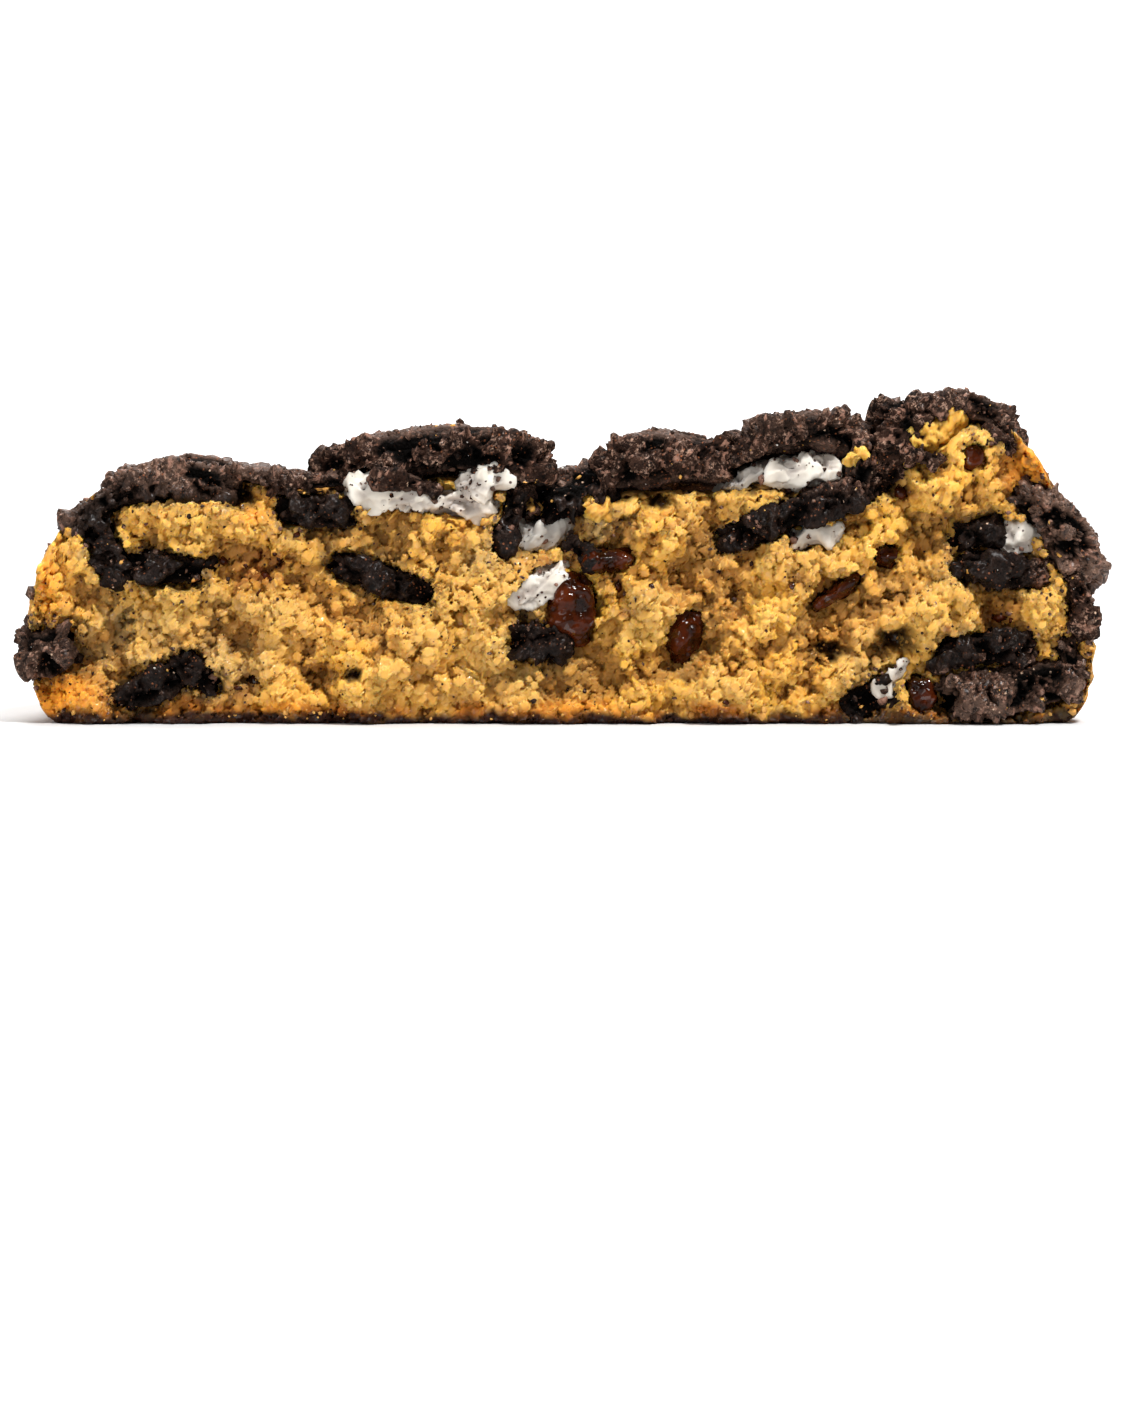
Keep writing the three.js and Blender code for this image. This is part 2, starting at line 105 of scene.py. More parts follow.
# %% [markdown]
# Four formulas give the cookie's form: its outline from above, the height of its top, the curve of its
# foot, and the torn face. They are the same as those of the solid, so that the surfaces below lie on it.

# %% Shape of the cookie
GOLDEN_ANGLE = 2.399963


def ripple(x, y, z, scale, seed):
    """A smooth uneven value between about -1 and 1: the sum of four plane waves in spread directions."""
    total = 0.0
    for wave in range(1, 5):
        turn = seed + GOLDEN_ANGLE * wave
        lift = 1.3 * wave + 2 * seed
        ahead = np.cos(turn) * np.cos(lift) * x + np.sin(lift) * y + np.sin(turn) * np.cos(lift) * z
        total = total + np.sin(TAU * ahead / scale + 5.1 * turn)
    return total / 3.2


def smooth_step(low, high, value):
    """0 below low, 1 above high, with a soft S between."""
    t = np.clip((value - low) / (high - low), 0, 1)
    return t * t * (3 - 2 * t)


def rim_radius(angle):
    """The outline is a circle plus two small waves round it."""
    return RADIUS + RIM_UNEVEN * (np.sin(3 * angle - 0.2) + 0.7 * np.sin(7 * angle + 2.1))


def top_height(x, y):
    """The crown falls gently to the back and carries bell-shaped swells. Over the last 12 mm before the
    rim it follows a squarish quarter round down to the rim's height."""
    back = y - BREAK_Y
    crown = CROWN_HEIGHT - CROWN_FALL * back
    for middle, behind, wide, deep, high in TOP_SWELLS:
        crown = crown + high * np.exp(-(((x - middle) / wide) ** 2) - ((back - behind) / deep) ** 2)
    angle = np.arctan2(y - COOKIE_MIDDLE_Y, x)
    inside = rim_radius(angle) - np.hypot(x, y - COOKIE_MIDDLE_Y)
    over = np.clip(1 - inside / SHOULDER_ROUND, 0, 1)
    lift = (1 - over**SHOULDER_SQUARE) ** (1 / SHOULDER_SQUARE)
    return RIM_HEIGHT + (crown - RIM_HEIGHT) * lift + CRUST_RELIEF * lift * ripple(x, y, 0, 9, 0.4)


def base_height(x, y):
    """Zero on the flat base. The foot is a quarter of an ellipse up to the rim's height."""
    angle = np.arctan2(y - COOKIE_MIDDLE_Y, x)
    inside = rim_radius(angle) - np.hypot(x, y - COOKIE_MIDDLE_Y)
    over = np.clip(1 - inside / FOOT_ROUND, 0, 1)
    return RIM_HEIGHT * (1 - np.sqrt(1 - over**2))


def tear_y(x, z):
    """The torn face stands near one plane. Crags come out of it, hollows go in, and two ripples roughen
    it."""
    out = TEAR_COARSE[1] * ripple(x, 0, z, TEAR_COARSE[0], 1.7)
    out = out + TEAR_FINE[1] * ripple(x, 0, z, TEAR_FINE[0], 4.2)
    for middle, high, size, stand in TEAR_CRAGS:
        out = out + stand * np.exp(-(((x - middle) ** 2 + (z - high) ** 2) / size**2))
    return BREAK_Y - out


print("height of the peak above the base: %.1f mm" % top_height(np.array(43.6), np.array(BREAK_Y)))

# %% [markdown]
# The pieces in the dough are broken slabs. Each has a kind, a name, the place of its middle, half its
# length, depth and thickness, and its turns in degrees. There is one way to say the place for each of the
# three surfaces.

# %% Entries of the pieces


def torn(kind, name, x, z, half, roll, proud, **more):
    """A piece in the torn face, which stands out of it by proud. Some have a bend or a pitch too."""
    return dict(more, kind=kind, name=name, x=x, z=z, half=half, roll=roll, proud=proud)


def top(kind, name, x, back, rise, half, roll, pitch, yaw):
    """A piece on the top, this far behind the torn face. Its middle is this far above the crust."""
    return dict(kind=kind, name=name, x=x, back=back, rise=rise, half=half, roll=roll, pitch=pitch, yaw=yaw)


def side(name, turn, rise, inside, half, roll):
    """A wafer in the baked side, this many degrees round the cookie, this high and this far inside the
    rim."""
    return dict(kind="wafer", name=name, turn=turn, rise=rise, inside=inside, half=half, roll=roll)


TORN_PIECES = [
    torn("wafer", "shoulder_wafer", -38.4, 24.4, (7.0, 7.5, 2.1), 2, 0.6, bend=1.6),
    torn("wafer", "shoulder_tail", -28.4, 24.7, (4.2, 4.4, 0.8), -4, 0.3),
    torn("wafer", "shoulder_chip", -46.3, 21.4, (2.9, 4.2, 1.4), 34, 0.9),
    torn("wafer", "upright_wafer", -45.1, 17.3, (3.4, 3.4, 1.7), -66, 0.6),
    torn("wafer", "inner_left_wafer", -39.3, 15.5, (4.1, 4.2, 1.75), -9, 0.6),
    torn("wafer", "left_end_wafer", -51.0, 7.3, (2.8, 4.2, 2.5), 6, 1.1),
    torn("wafer", "low_left_wafer", -40.5, 3.9, (4.0, 4.2, 1.6), 24, 1.3),
    torn("wafer", "low_left_chip", -36.1, 5.0, (2.4, 3.0, 1.4), -42, 1.0),
    torn("wafer", "tucked_wafer", -24.4, 21.2, (3.9, 4.0, 1.8), -4, 1.0),
    torn("wafer", "mid_left_wafer", -17.7, 14.5, (5.8, 4.6, 1.6), -18, 1.5),
    torn("wafer", "left_crown_wafer", -12.6, 27.2, (11.4, 8.8, 2.5), 2, 1.5, bend=1.5),
    torn("wafer", "left_crown_lump", -15.2, 24.1, (3.4, 2.2, 0.9), -8, 1.9),
    torn("cream", "left_crown_cream", -13.8, 22.6, (8.4, 6.4, 1.65), -7, 1.1),
    torn("cream", "left_crown_fold", -7.6, 24.2, (2.8, 2.6, 1.4), 18, 1.6),
    torn("wafer", "gap_slab", -4.9, 20.2, (3.4, 3.2, 1.3), 76, 1.3),
    torn("wafer", "gap_wafer", 1.5, 23.1, (3.7, 4.6, 2.3), 18, 0.6, pitch=8),
    torn("cream", "gap_cream", -1.5, 18.7, (2.5, 2.8, 1.6), -4, 1.3),
    torn("chocolate", "gap_chocolate", 5.0, 16.4, (2.8, 2.2, 1.2), 10, 1.0),
    torn("wafer", "middle_crown_wafer", 10.9, 26.4, (6.7, 7.4, 2.6), 4, 1.3, bend=0.8, pitch=-3),
    torn("wafer", "right_crown_wafer", 23.9, 28.8, (7.4, 7.4, 2.2), 4, 1.4, bend=1.9, pitch=-5),
    torn("cream", "right_crown_cream", 24.2, 25.2, (4.0, 4.6, 1.6), 4, 1.2),
    torn("cream", "right_crown_strip", 18.4, 24.3, (2.3, 3.8, 0.7), 22, 0.6),
    torn("wafer", "right_crown_base", 24.4, 21.2, (9.5, 6.6, 1.8), 20, 1.3),
    torn("cream", "right_crown_smear", 25.4, 18.6, (2.7, 2.8, 1.1), 14, 1.3),
    torn("chocolate", "heart_chocolate", 1.4, 11.7, (2.6, 3.0, 3.7), -6, 1.3),
    torn("cream", "heart_cream", -2.0, 13.9, (3.2, 2.3, 1.35), 35, 1.6),
    torn("wafer", "heart_wafer", -2.1, 8.4, (2.6, 2.6, 1.9), -3, 1.4),
    torn("chocolate", "crevice_chocolate", 12.6, 8.8, (1.6, 2.4, 2.9), -14, 1.2),
    torn("chocolate", "slash_chocolate", 27.6, 13.2, (2.9, 2.3, 0.85), 33, 1.1),
    torn("chocolate", "bead_chocolate", 32.8, 16.9, (1.3, 1.7, 1.2), 0, 0.6),
    torn("wafer", "peak_left_wafer", 34.2, 29.1, (2.6, 4.2, 3.2), -8, 1.0),
    torn("wafer", "peak_top_wafer", 40.9, 31.6, (5.5, 6.4, 1.6), -13, 0.8, bend=2.3, pitch=-4),
    torn("chocolate", "peak_bead", 41.2, 26.8, (1.25, 1.6, 1.25), 10, 0.8),
    torn("wafer", "rim_upper_wafer", 50.2, 19.2, (5.7, 7.0, 2.5), -56, 0.9, bend=0.6),
    torn("cream", "rim_cream", 45.7, 18.4, (1.8, 2.6, 1.9), 8, 0.8),
    torn("wafer", "rim_inner_chip", 41.6, 18.9, (2.6, 2.8, 1.5), 8, 1.0),
    torn("wafer", "rim_inner_wafer", 43.8, 15.4, (5.0, 3.8, 1.9), -7, 1.0),
    torn("wafer", "rim_middle_wafer", 52.2, 11.4, (3.2, 5.0, 1.4), -82, 0.6),
    torn("wafer", "heel_wafer", 45.2, 3.3, (8.0, 6.6, 2.6), 9, 1.2, bend=-0.5),
    torn("wafer", "heel_upper_wafer", 42.6, 7.5, (4.9, 4.0, 1.8), 4, 1.2),
    torn("wafer", "heel_low_wafer", 31.2, 2.6, (2.6, 3.0, 1.8), 24, 0.7),
    torn("chocolate", "heel_chocolate", 36.0, 3.2, (1.5, 2.0, 2.0), 8, 0.7),
    torn("cream", "heel_cream", 33.4, 4.7, (2.3, 1.6, 0.65), 58, 1.1),
    torn("wafer", "heel_side_wafer", 51.2, 6.7, (2.3, 4.4, 1.3), -78, 0.8),
    torn("wafer", "right_crown_chip", 30.4, 25.6, (2.6, 3.8, 1.6), 70, 0.6),
]

TOP_PIECES = [
    top("wafer", "back_left_wafer", -27.0, 26, 0.5, (8.2, 7.2, 1.65), -3, -8, 24),
    top("wafer", "back_middle_wafer", 11.0, 27, 1.9, (8.0, 6.8, 1.65), 9, -12, -20),
    top("cream", "back_middle_cream", 11.6, 26.4, -1.4, (7.6, 6.4, 1.15), 9, -12, -20),
    top("wafer", "back_right_wafer", 31.0, 29, 1.8, (7.0, 7.6, 1.65), -9, -11, 12),
    top("cream", "back_right_cream", 30.6, 28.4, -1.5, (6.7, 7.2, 1.15), -9, -11, 12),
    top("wafer", "top_left_wafer", -41.5, 21, 0.4, (5.0, 6.2, 1.6), 30, -6, -12),
    top("wafer", "top_middle_wafer", -6.0, 42, 0.3, (6.4, 5.0, 1.6), 2, -26, 10),
    top("wafer", "top_slot_wafer", -4.0, 20, 0.2, (4.2, 4.6, 1.6), 22, 4, 40),
    top("wafer", "top_right_wafer", 42.5, 24, 0.4, (4.8, 6.0, 1.6), -34, -8, 14),
]

SIDE_PIECES = [
    side("side_left_wafer", 141, 12, 0.6, (5.2, 1.8, 3.4), 64),
    side("side_back_wafer", 74, 9, 0.4, (6.0, 1.8, 2.6), 12),
    side("side_right_wafer", 38, 10, 0.4, (5.2, 1.8, 3.0), -24),
]
print("in the torn face, on the top, in the side:", len(TORN_PIECES), len(TOP_PIECES), len(SIDE_PIECES))

# %% [markdown]
# Each entry becomes a point and a turn in space. A piece of the torn face stands out of the tear by a set
# distance. A piece of the top follows the height of the crust there. A piece of the side lies on the
# shoulder, a little inside it, and is turned to face outwards.

# %% Places of the pieces
# Squareness of each kind's edges, raggedness of its outline and unevenness of its faces
KINDS = {"wafer": (3.6, 0.1, 0.2), "cream": (2.8, 0.1, 0.16), "chocolate": (2.3, 0.07, 0.1)}
OUTLINE_SQUARE = 3.4


def place_of(piece):
    """Where the middle of a piece is, and its turn as seen from above."""
    if "proud" in piece:
        return (piece["x"], tear_y(piece["x"], piece["z"]) + piece["half"][1] - piece["proud"], piece["z"]), 0
    if "back" in piece:
        y = BREAK_Y + piece["back"]
        return (piece["x"], y, top_height(piece["x"], y) + piece["rise"]), piece["yaw"]
    angle = math.radians(piece["turn"])
    lift = (piece["rise"] - RIM_HEIGHT) / (CROWN_HEIGHT - CROWN_FALL * RADIUS - RIM_HEIGHT)
    over = (1 - lift**SHOULDER_SQUARE) ** (1 / SHOULDER_SQUARE)
    out = rim_radius(angle) - SHOULDER_ROUND * (1 - over) - piece["inside"]
    return (out * math.cos(angle), COOKIE_MIDDLE_Y + out * math.sin(angle), piece["rise"]), piece["turn"] - 90


def turned(roll, pitch, yaw):
    """The matrix that turns by pitch about X, then by roll about Y, then by yaw about Z."""
    a, b, c = math.radians(pitch), -math.radians(roll), math.radians(yaw)
    about_x = np.array([[1, 0, 0], [0, math.cos(a), -math.sin(a)], [0, math.sin(a), math.cos(a)]])
    about_y = np.array([[math.cos(b), 0, math.sin(b)], [0, 1, 0], [-math.sin(b), 0, math.cos(b)]])
    about_z = np.array([[math.cos(c), -math.sin(c), 0], [math.sin(c), math.cos(c), 0], [0, 0, 1]])
    return about_z @ about_y @ about_x


PIECES = []
for seed, entry in enumerate(TORN_PIECES + TOP_PIECES + SIDE_PIECES):
    middle, yaw = place_of(entry)
    turn = turned(entry["roll"], entry.get("pitch", 0), yaw)
    PIECES.append(dict(entry, middle=np.array(middle), turn=turn, seed=seed))
print("pieces in the dough:", len(PIECES))
assert {piece["name"] for piece in PIECES} == set(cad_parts) - {"dough"}

# %% [markdown]
# A crumb is a mass of little rounded grains on a ragged mass of larger clumps. Random hills, cut into
# terraces, give the clumps. In space, the nearest grain's bulge roughens any closed piece. Both look up
# their random numbers in one table, which repeats only after 32 cells.

# %% Grains, hills and terraces
TABLE_SIZE = 32
SPOTS = np.random.default_rng(5).random((TABLE_SIZE, TABLE_SIZE, TABLE_SIZE, 4))


def grains(points, cell, shift=0.0):
    """One grain sits at a random spot in each cell of a cubic lattice. The value is the height of a round
    dome over the nearest grain: 1 at its middle, 0 beyond its edge. The second value is a random one for
    each grain."""
    scaled = points / cell + shift
    home = np.floor(scaled).astype(int)
    nearest = np.full(len(points), 9.0)
    tag = np.zeros(len(points))
    for step in product((-1, 0, 1), repeat=3):
        corner = home + step
        spot = SPOTS[tuple((corner % TABLE_SIZE).T)]
        gap = np.sqrt(((corner + spot[:, :3] - scaled) ** 2).sum(axis=1))
        closer = gap < nearest
        nearest[closer] = gap[closer]
        tag[closer] = spot[closer, 3]
    return np.sqrt(np.clip(1 - (nearest / 0.95) ** 2, 0, 1)), tag


def hills(x, y, z, size, seed):
    """Smooth random hills between -1 and 1: random heights at the knots of a cubic net this many
    millimetres wide, blended softly between the eight knots round each point. The seed turns and shifts
    the net."""
    net = turned(131 * seed, 71 * seed, 197 * seed) / size
    place = np.stack(np.broadcast_arrays(x, y, z), axis=-1) @ net + 5.3 * seed
    home = np.floor(place).astype(int)
    part = smooth_step(0, 1, place - home)
    total = 0.0
    for corner in product((0, 1), repeat=3):
        knot = (home + corner) % TABLE_SIZE
        weight = np.prod(np.where(corner, part, 1 - part), axis=-1)
        total = total + weight * (2 * SPOTS[knot[..., 0], knot[..., 1], knot[..., 2], 3] - 1)
    return total


def rough(x, y, z, size, seed, layers=5):
    """A cragged value, mostly between -1 and 1: hills that halve in size and nearly halve in height."""
    return sum(0.55**k * hills(x, y, z, size * 0.5**k, seed + 1.7 * k) for k in range(layers))


def terraces(level, wall):
    """Steps: flat at whole numbers, with a steep soft wall over the first part of each step."""
    whole = np.floor(level)
    return whole + smooth_step(0, wall, level - whole)


print("cells in the table of random numbers:", TABLE_SIZE**3)

# %% [markdown]
# On the torn face, a layer of small flat balls lies on the clumps. Each ball sits at the height of the
# clumps at its middle, so that a whole grain rises or falls together. That is what gives torn dough its
# ragged, scalloped edges.

# %% A layer of balls


class Balls:
    """A layer of balls over the torn face, one at a random spot in each square cell."""

    FIRST_X, FIRST_Z, LAST_X, LAST_Z = -60.0, -6.0, 60.0, 42.0

    def __init__(self, cell, radius, flat, spread, drop, seed, under, ragged=0.0):
        """Each ball rests on the layer under it, lifted or lowered by a random part of spread, more where
        the crumb is open. A tenth of the balls are dropped by drop, which leaves pits. ragged bends the
        balls' outlines by this many millimetres."""
        draw = np.random.default_rng(seed)
        across = int((self.LAST_X - self.FIRST_X) / cell) + 1
        up = int((self.LAST_Z - self.FIRST_Z) / cell) + 1
        i, k = np.meshgrid(np.arange(across), np.arange(up), indexing="ij")
        self.cell, self.flat, self.under, self.ragged, self.seed = cell, flat, under, ragged, seed
        self.x = self.FIRST_X + (i + draw.random(i.shape)) * cell
        self.z = self.FIRST_Z + (k + draw.random(i.shape)) * cell
        self.radius = cell * (radius[0] + (radius[1] - radius[0]) * draw.random(i.shape) ** 1.5)
        open_crumb = 0.45 + 0.8 * np.clip(ripple(self.x, 0, self.z, 26, seed) + 0.4, 0, 1)
        self.out = under(self.x, self.z) + spread * open_crumb * (draw.random(i.shape) - 0.5)
        self.out -= drop * (draw.random(i.shape) < 0.1)
        self.tags = draw.random(i.shape)

    def near(self, x, z):
        """The balls of the nine cells round each point, one cell at a time: which they are, their domes'
        height there, and whether the point is on them."""
        bend = self.ragged * ripple(x, 0, z, 0.45 * self.cell, self.seed)
        x, z = x + bend, z + self.ragged * ripple(z, 3, x, 0.4 * self.cell, self.seed + 2)
        i = np.floor((x - self.FIRST_X) / self.cell).astype(int)
        k = np.floor((z - self.FIRST_Z) / self.cell).astype(int)
        for step_i, step_k in product((-1, 0, 1), repeat=2):
            at = (np.clip(i + step_i, 0, self.x.shape[0] - 1), np.clip(k + step_k, 0, self.x.shape[1] - 1))
            gap = ((x - self.x[at]) ** 2 + (z - self.z[at]) ** 2) / self.radius[at] ** 2
            dome = self.out[at] + self.flat * self.radius[at] * (np.sqrt(np.clip(1 - gap, 0, 1)) - 0.4)
            yield at, dome, gap < 1

    def __call__(self, x, z):
        """How far the layer stands out at x, z: the soft maximum of the domes there, and never lower than
        the layer under it less half a cell."""
        sharp = 9.0 / self.cell
        floor = self.under(x, z) - 0.5 * self.cell
        total = np.ones_like(x)
        for _, dome, on in self.near(x, z):
            total += np.where(on, np.exp(np.clip(sharp * (dome - floor), -30, 60)), 0)
        return floor + np.log(total) / sharp

    def owner(self, x, z):
        """The random number of the highest ball at each point."""
        best, tag = np.full_like(x, -99.0), np.zeros_like(x)
        for at, dome, on in self.near(x, z):
            higher = on & (dome > best)
            best[higher] = dome[higher]
            tag[higher] = self.tags[at][higher]
        return tag


# %% [markdown]
# Where a piece sits in the torn face, the dough goes back behind it, so that the piece shows with a
# ragged rim of crumb round it. The outline of each piece, as seen from the front, is the same squarish
# oval as its solid's. The distance to that outline also gives the grey dust that black wafers leave on
# the crumb beside them.

# %% The torn dough before its grain
SOCKET_DEPTH = 3.0
CRAGS_MIDDLE = 1.0


def outline_gap(piece, x, z):
    """Distance from the squarish oval |u/half length|^s + |w/half thickness|^s = 1, in millimetres: below
    zero inside the piece. u and w are x and z, turned by the roll."""
    along, _, thick = piece["half"]
    roll = math.radians(piece["roll"])
    u = math.cos(roll) * (x - piece["x"]) + math.sin(roll) * (z - piece["z"])
    w = math.cos(roll) * (z - piece["z"]) - math.sin(roll) * (x - piece["x"])
    w = w + piece.get("bend", 0) * np.clip(u / along, -1, 1) ** 2
    square = KINDS[piece["kind"]][0]
    ratio = (np.abs(u / along) ** square + np.abs(w / thick) ** square) ** (1 / square) + 1e-6
    return np.hypot(u, w) * (1 - 1 / ratio)


def nearest_gap(x, z, kinds=("wafer", "cream", "chocolate")):
    """The smallest outline gap to any piece of these kinds in the torn face."""
    return np.min([outline_gap(piece, x, z) for piece in TORN_PIECES if piece["kind"] in kinds], axis=0)


def crags(x, z):
    """Relief of the torn dough in millimetres: terraces of cragged values at two sizes, a little sloped.
    The outlines of the terraces are bent, which makes them ragged. Down at the base the relief is
    lower."""
    x, z = x + 0.65 * rough(x, 0, z, 1.5, 9.1, 3), z + 0.65 * rough(x, 0, z, 1.5, 4.4, 3)
    fuller = 0.3 * smooth_step(4, 14, x) * smooth_step(46, 38, x)
    large = 1.8 * rough(x, 0, z, 4.2, 3.1) + 0.35 + fuller
    small = 1.8 * rough(x, 0, z, 1.5, 6.3, 3)
    relief = terraces(large, 0.22) + 0.3 * large + 0.42 * terraces(small, 0.22) + 0.1 * small - CRAGS_MIDDLE
    return relief * (0.3 + 0.7 * smooth_step(0, 3.5, z))


def torn_dough(x, z):
    """How far the torn dough stands out of the plane of the break, before its grain: the tear and its
    crags, and in place of the crags a socket behind every piece, with a ragged rim."""
    inside = smooth_step(0.5, -0.6, nearest_gap(x, z) + 0.4 * rough(x, 0, z, 1.8, 8.2, 3))
    return BREAK_Y - tear_y(x, z) + (1 - inside) * crags(x, z) - inside * SOCKET_DEPTH


level = torn_dough(np.linspace(-45, 45, 181), np.full(181, 12.0))
print("12 mm up, the torn dough stands out by %.1f to %.1f mm" % (level.min(), level.max()))

# %% [markdown]
# The granules, 0.6 mm apart, lie on that dough. Here and there a whole clump has been pulled out, which
# leaves a deep, dark hole. The holes that show are listed as ovals with ragged rims.

# %% Granules and holes
granules = Balls(cell=0.6, radius=(0.5, 0.95), flat=0.19, spread=0.07, drop=0.16, seed=14, under=torn_dough,
                 ragged=0.13)

# Deep holes: middle x, z, half width, half height and depth
HOLES = np.array([
    (33.7, 8.3, 1.7, 1.2, 2.6),
    (26.9, 7.3, 1.7, 0.7, 2.4),
    (9.8, 22.2, 1.4, 0.5, 1.6),
    (-20.6, 5.0, 0.8, 0.5, 1.2),
    (22.5, 23.9, 4.5, 0.8, 2.0),
    (30.0, 25.6, 3.5, 1.0, 2.5),
    (33.4, 24.8, 1.1, 1.8, 2.5),
    (-31.6, 23.2, 1.3, 1.5, 1.5),
    (-3.3, 18.4, 0.9, 1.6, 2.4),
    (-24.6, 23.7, 3.4, 0.9, 2.2),
    (-2.5, 21.0, 1.9, 1.3, 3.0),
])


def hole_part(x, z, grow=1.0):
    """1 in the middle of each hole and 0 away from it, with a ragged rim, and how deep that hole is."""
    bent_x, bent_z = x + 0.5 * rough(x, 0, z, 1.4, 2.3, 3), z + 0.5 * rough(x, 0, z, 1.4, 7.7, 3)
    part, deep = np.zeros_like(x), np.zeros_like(x)
    for middle, high, wide, tall, depth in HOLES:
        gauss = np.exp(-(((bent_x - middle) / (grow * wide)) ** 4) - ((bent_z - high) / (grow * tall)) ** 4)
        part, deep = np.maximum(part, gauss), np.maximum(deep, depth * gauss)
    return part, deep


def crumb_out(x, z):
    """How far the finished crumb stands out: the granules, less the holes."""
    return granules(x, z) - hole_part(x, z)[1]


print("granules on the torn face:", granules.x.size)

# %% [markdown]
# Every new piece here is a closed surface of rings with a single point at each end. One helper gives its
# triangles, and another puts the points, in millimetres, into a mesh in metres, with the values that its
# material reads at each point. The object itself stays at the origin, unturned, because its place is in
# its mesh.

# %% From rings to a piece


def ring_faces(rings, around):
    """Triangles of closed rings of points, numbered ring by ring after a first single point and before a
    last."""
    i, j = np.meshgrid(np.arange(rings - 1), np.arange(around), indexing="ij")
    a = 1 + i * around + j
    b = 1 + i * around + (j + 1) % around
    c, d = b + around, a + around
    side = np.stack([a, b, c, a, c, d], axis=-1).reshape(-1, 3)
    turn = np.arange(around)
    first = np.stack([np.zeros(around, int), 1 + (turn + 1) % around, 1 + turn], axis=-1)
    last_ring = 1 + (rings - 1) * around
    end = np.full(around, last_ring + around)
    last = np.stack([end, last_ring + turn, last_ring + (turn + 1) % around], axis=-1)
    return np.vstack([first, side, last])


def outward(points, faces):
    """The same triangles, all turned over if they enclose a negative volume."""
    a, b, c = (points[faces[:, k]] for k in range(3))
    return faces if np.einsum("ij,ij->", a, np.cross(b, c)) > 0 else faces[:, ::-1]


def point_normals(points, faces):
    """The mean direction of the triangles round each point, weighted by their area."""
    a, b, c = (points[faces[:, k]] for k in range(3))
    face_normals = np.cross(b - a, c - a)
    total = np.zeros_like(points)
    for k, axis in product(range(3), repeat=2):
        total[:, axis] += np.bincount(faces[:, k], face_normals[:, axis], len(points))
    return total / np.maximum(np.linalg.norm(total, axis=1, keepdims=True), 1e-12)


def add_piece(name, points, faces, finish, stands_for=(), values=None):
    """A smooth mesh of triangles that rides on the one body, with one named value per point for its
    material."""
    mesh = bpy.data.meshes.new(name)
    mesh.vertices.add(len(points))
    mesh.vertices.foreach_set("co", (points * MM).astype(np.float32).ravel())
    mesh.loops.add(faces.size)
    mesh.loops.foreach_set("vertex_index", faces.astype(np.int32).ravel())
    mesh.polygons.add(len(faces))
    mesh.polygons.foreach_set("loop_start", np.arange(0, faces.size, 3, dtype=np.int32))
    mesh.update(calc_edges=True)
    mesh.shade_smooth()
    for key, value in (values or {}).items():
        mesh.attributes.new(key, "FLOAT", "POINT").data.foreach_set("value", value.astype(np.float32))
    mesh.materials.append(finish)
    piece = bpy.data.objects.new(name, mesh)
    bpy.context.collection.objects.link(piece)
    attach(piece, "root")
    if stands_for:
        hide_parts(*stands_for)


# %% [markdown]
# Materials are node trees, but long sums of nodes are hard to read. So one small class wraps a socket and
# lets Python's own operators add the Math nodes, as in 1 - mask * 0.5.

# %% Shader expressions


class Value:
    """A number that comes out of a node. Arithmetic on it adds Math nodes."""

    def __init__(self, finish, socket):
        self.finish, self.socket = finish, socket

    def math(self, operation, *numbers):
        sockets = dict(enumerate(numbers))
        return self.finish.node("ShaderNodeMath", {"operation": operation}, sockets)

    def __add__(self, other):
        return self.math("ADD", self, other)

    def __sub__(self, other):
        return self.math("SUBTRACT", self, other)

    def __rsub__(self, other):
        return self.math("SUBTRACT", other, self)

    def __mul__(self, other):
        return self.math("MULTIPLY", self, other)

    __radd__ = __add__
    __rmul__ = __mul__

    def step(self, low, high):
        """0 where this is below low, 1 above high, with a soft S between. It falls where low is above
        high."""
        sockets = {"Value": self, "From Min": low, "From Max": high}
        return self.finish.node("ShaderNodeMapRange", {"interpolation_type": "SMOOTHSTEP"}, sockets)

    def clamp(self):
        return self.finish.node("ShaderNodeClamp", {}, {"Value": self})


# %% [markdown]
# A second class holds one material's tree. One method adds any other kind of node. Short methods on top
# of it give soft noise, cells, specks, layers of colour and bumps.

# %% A material's tree


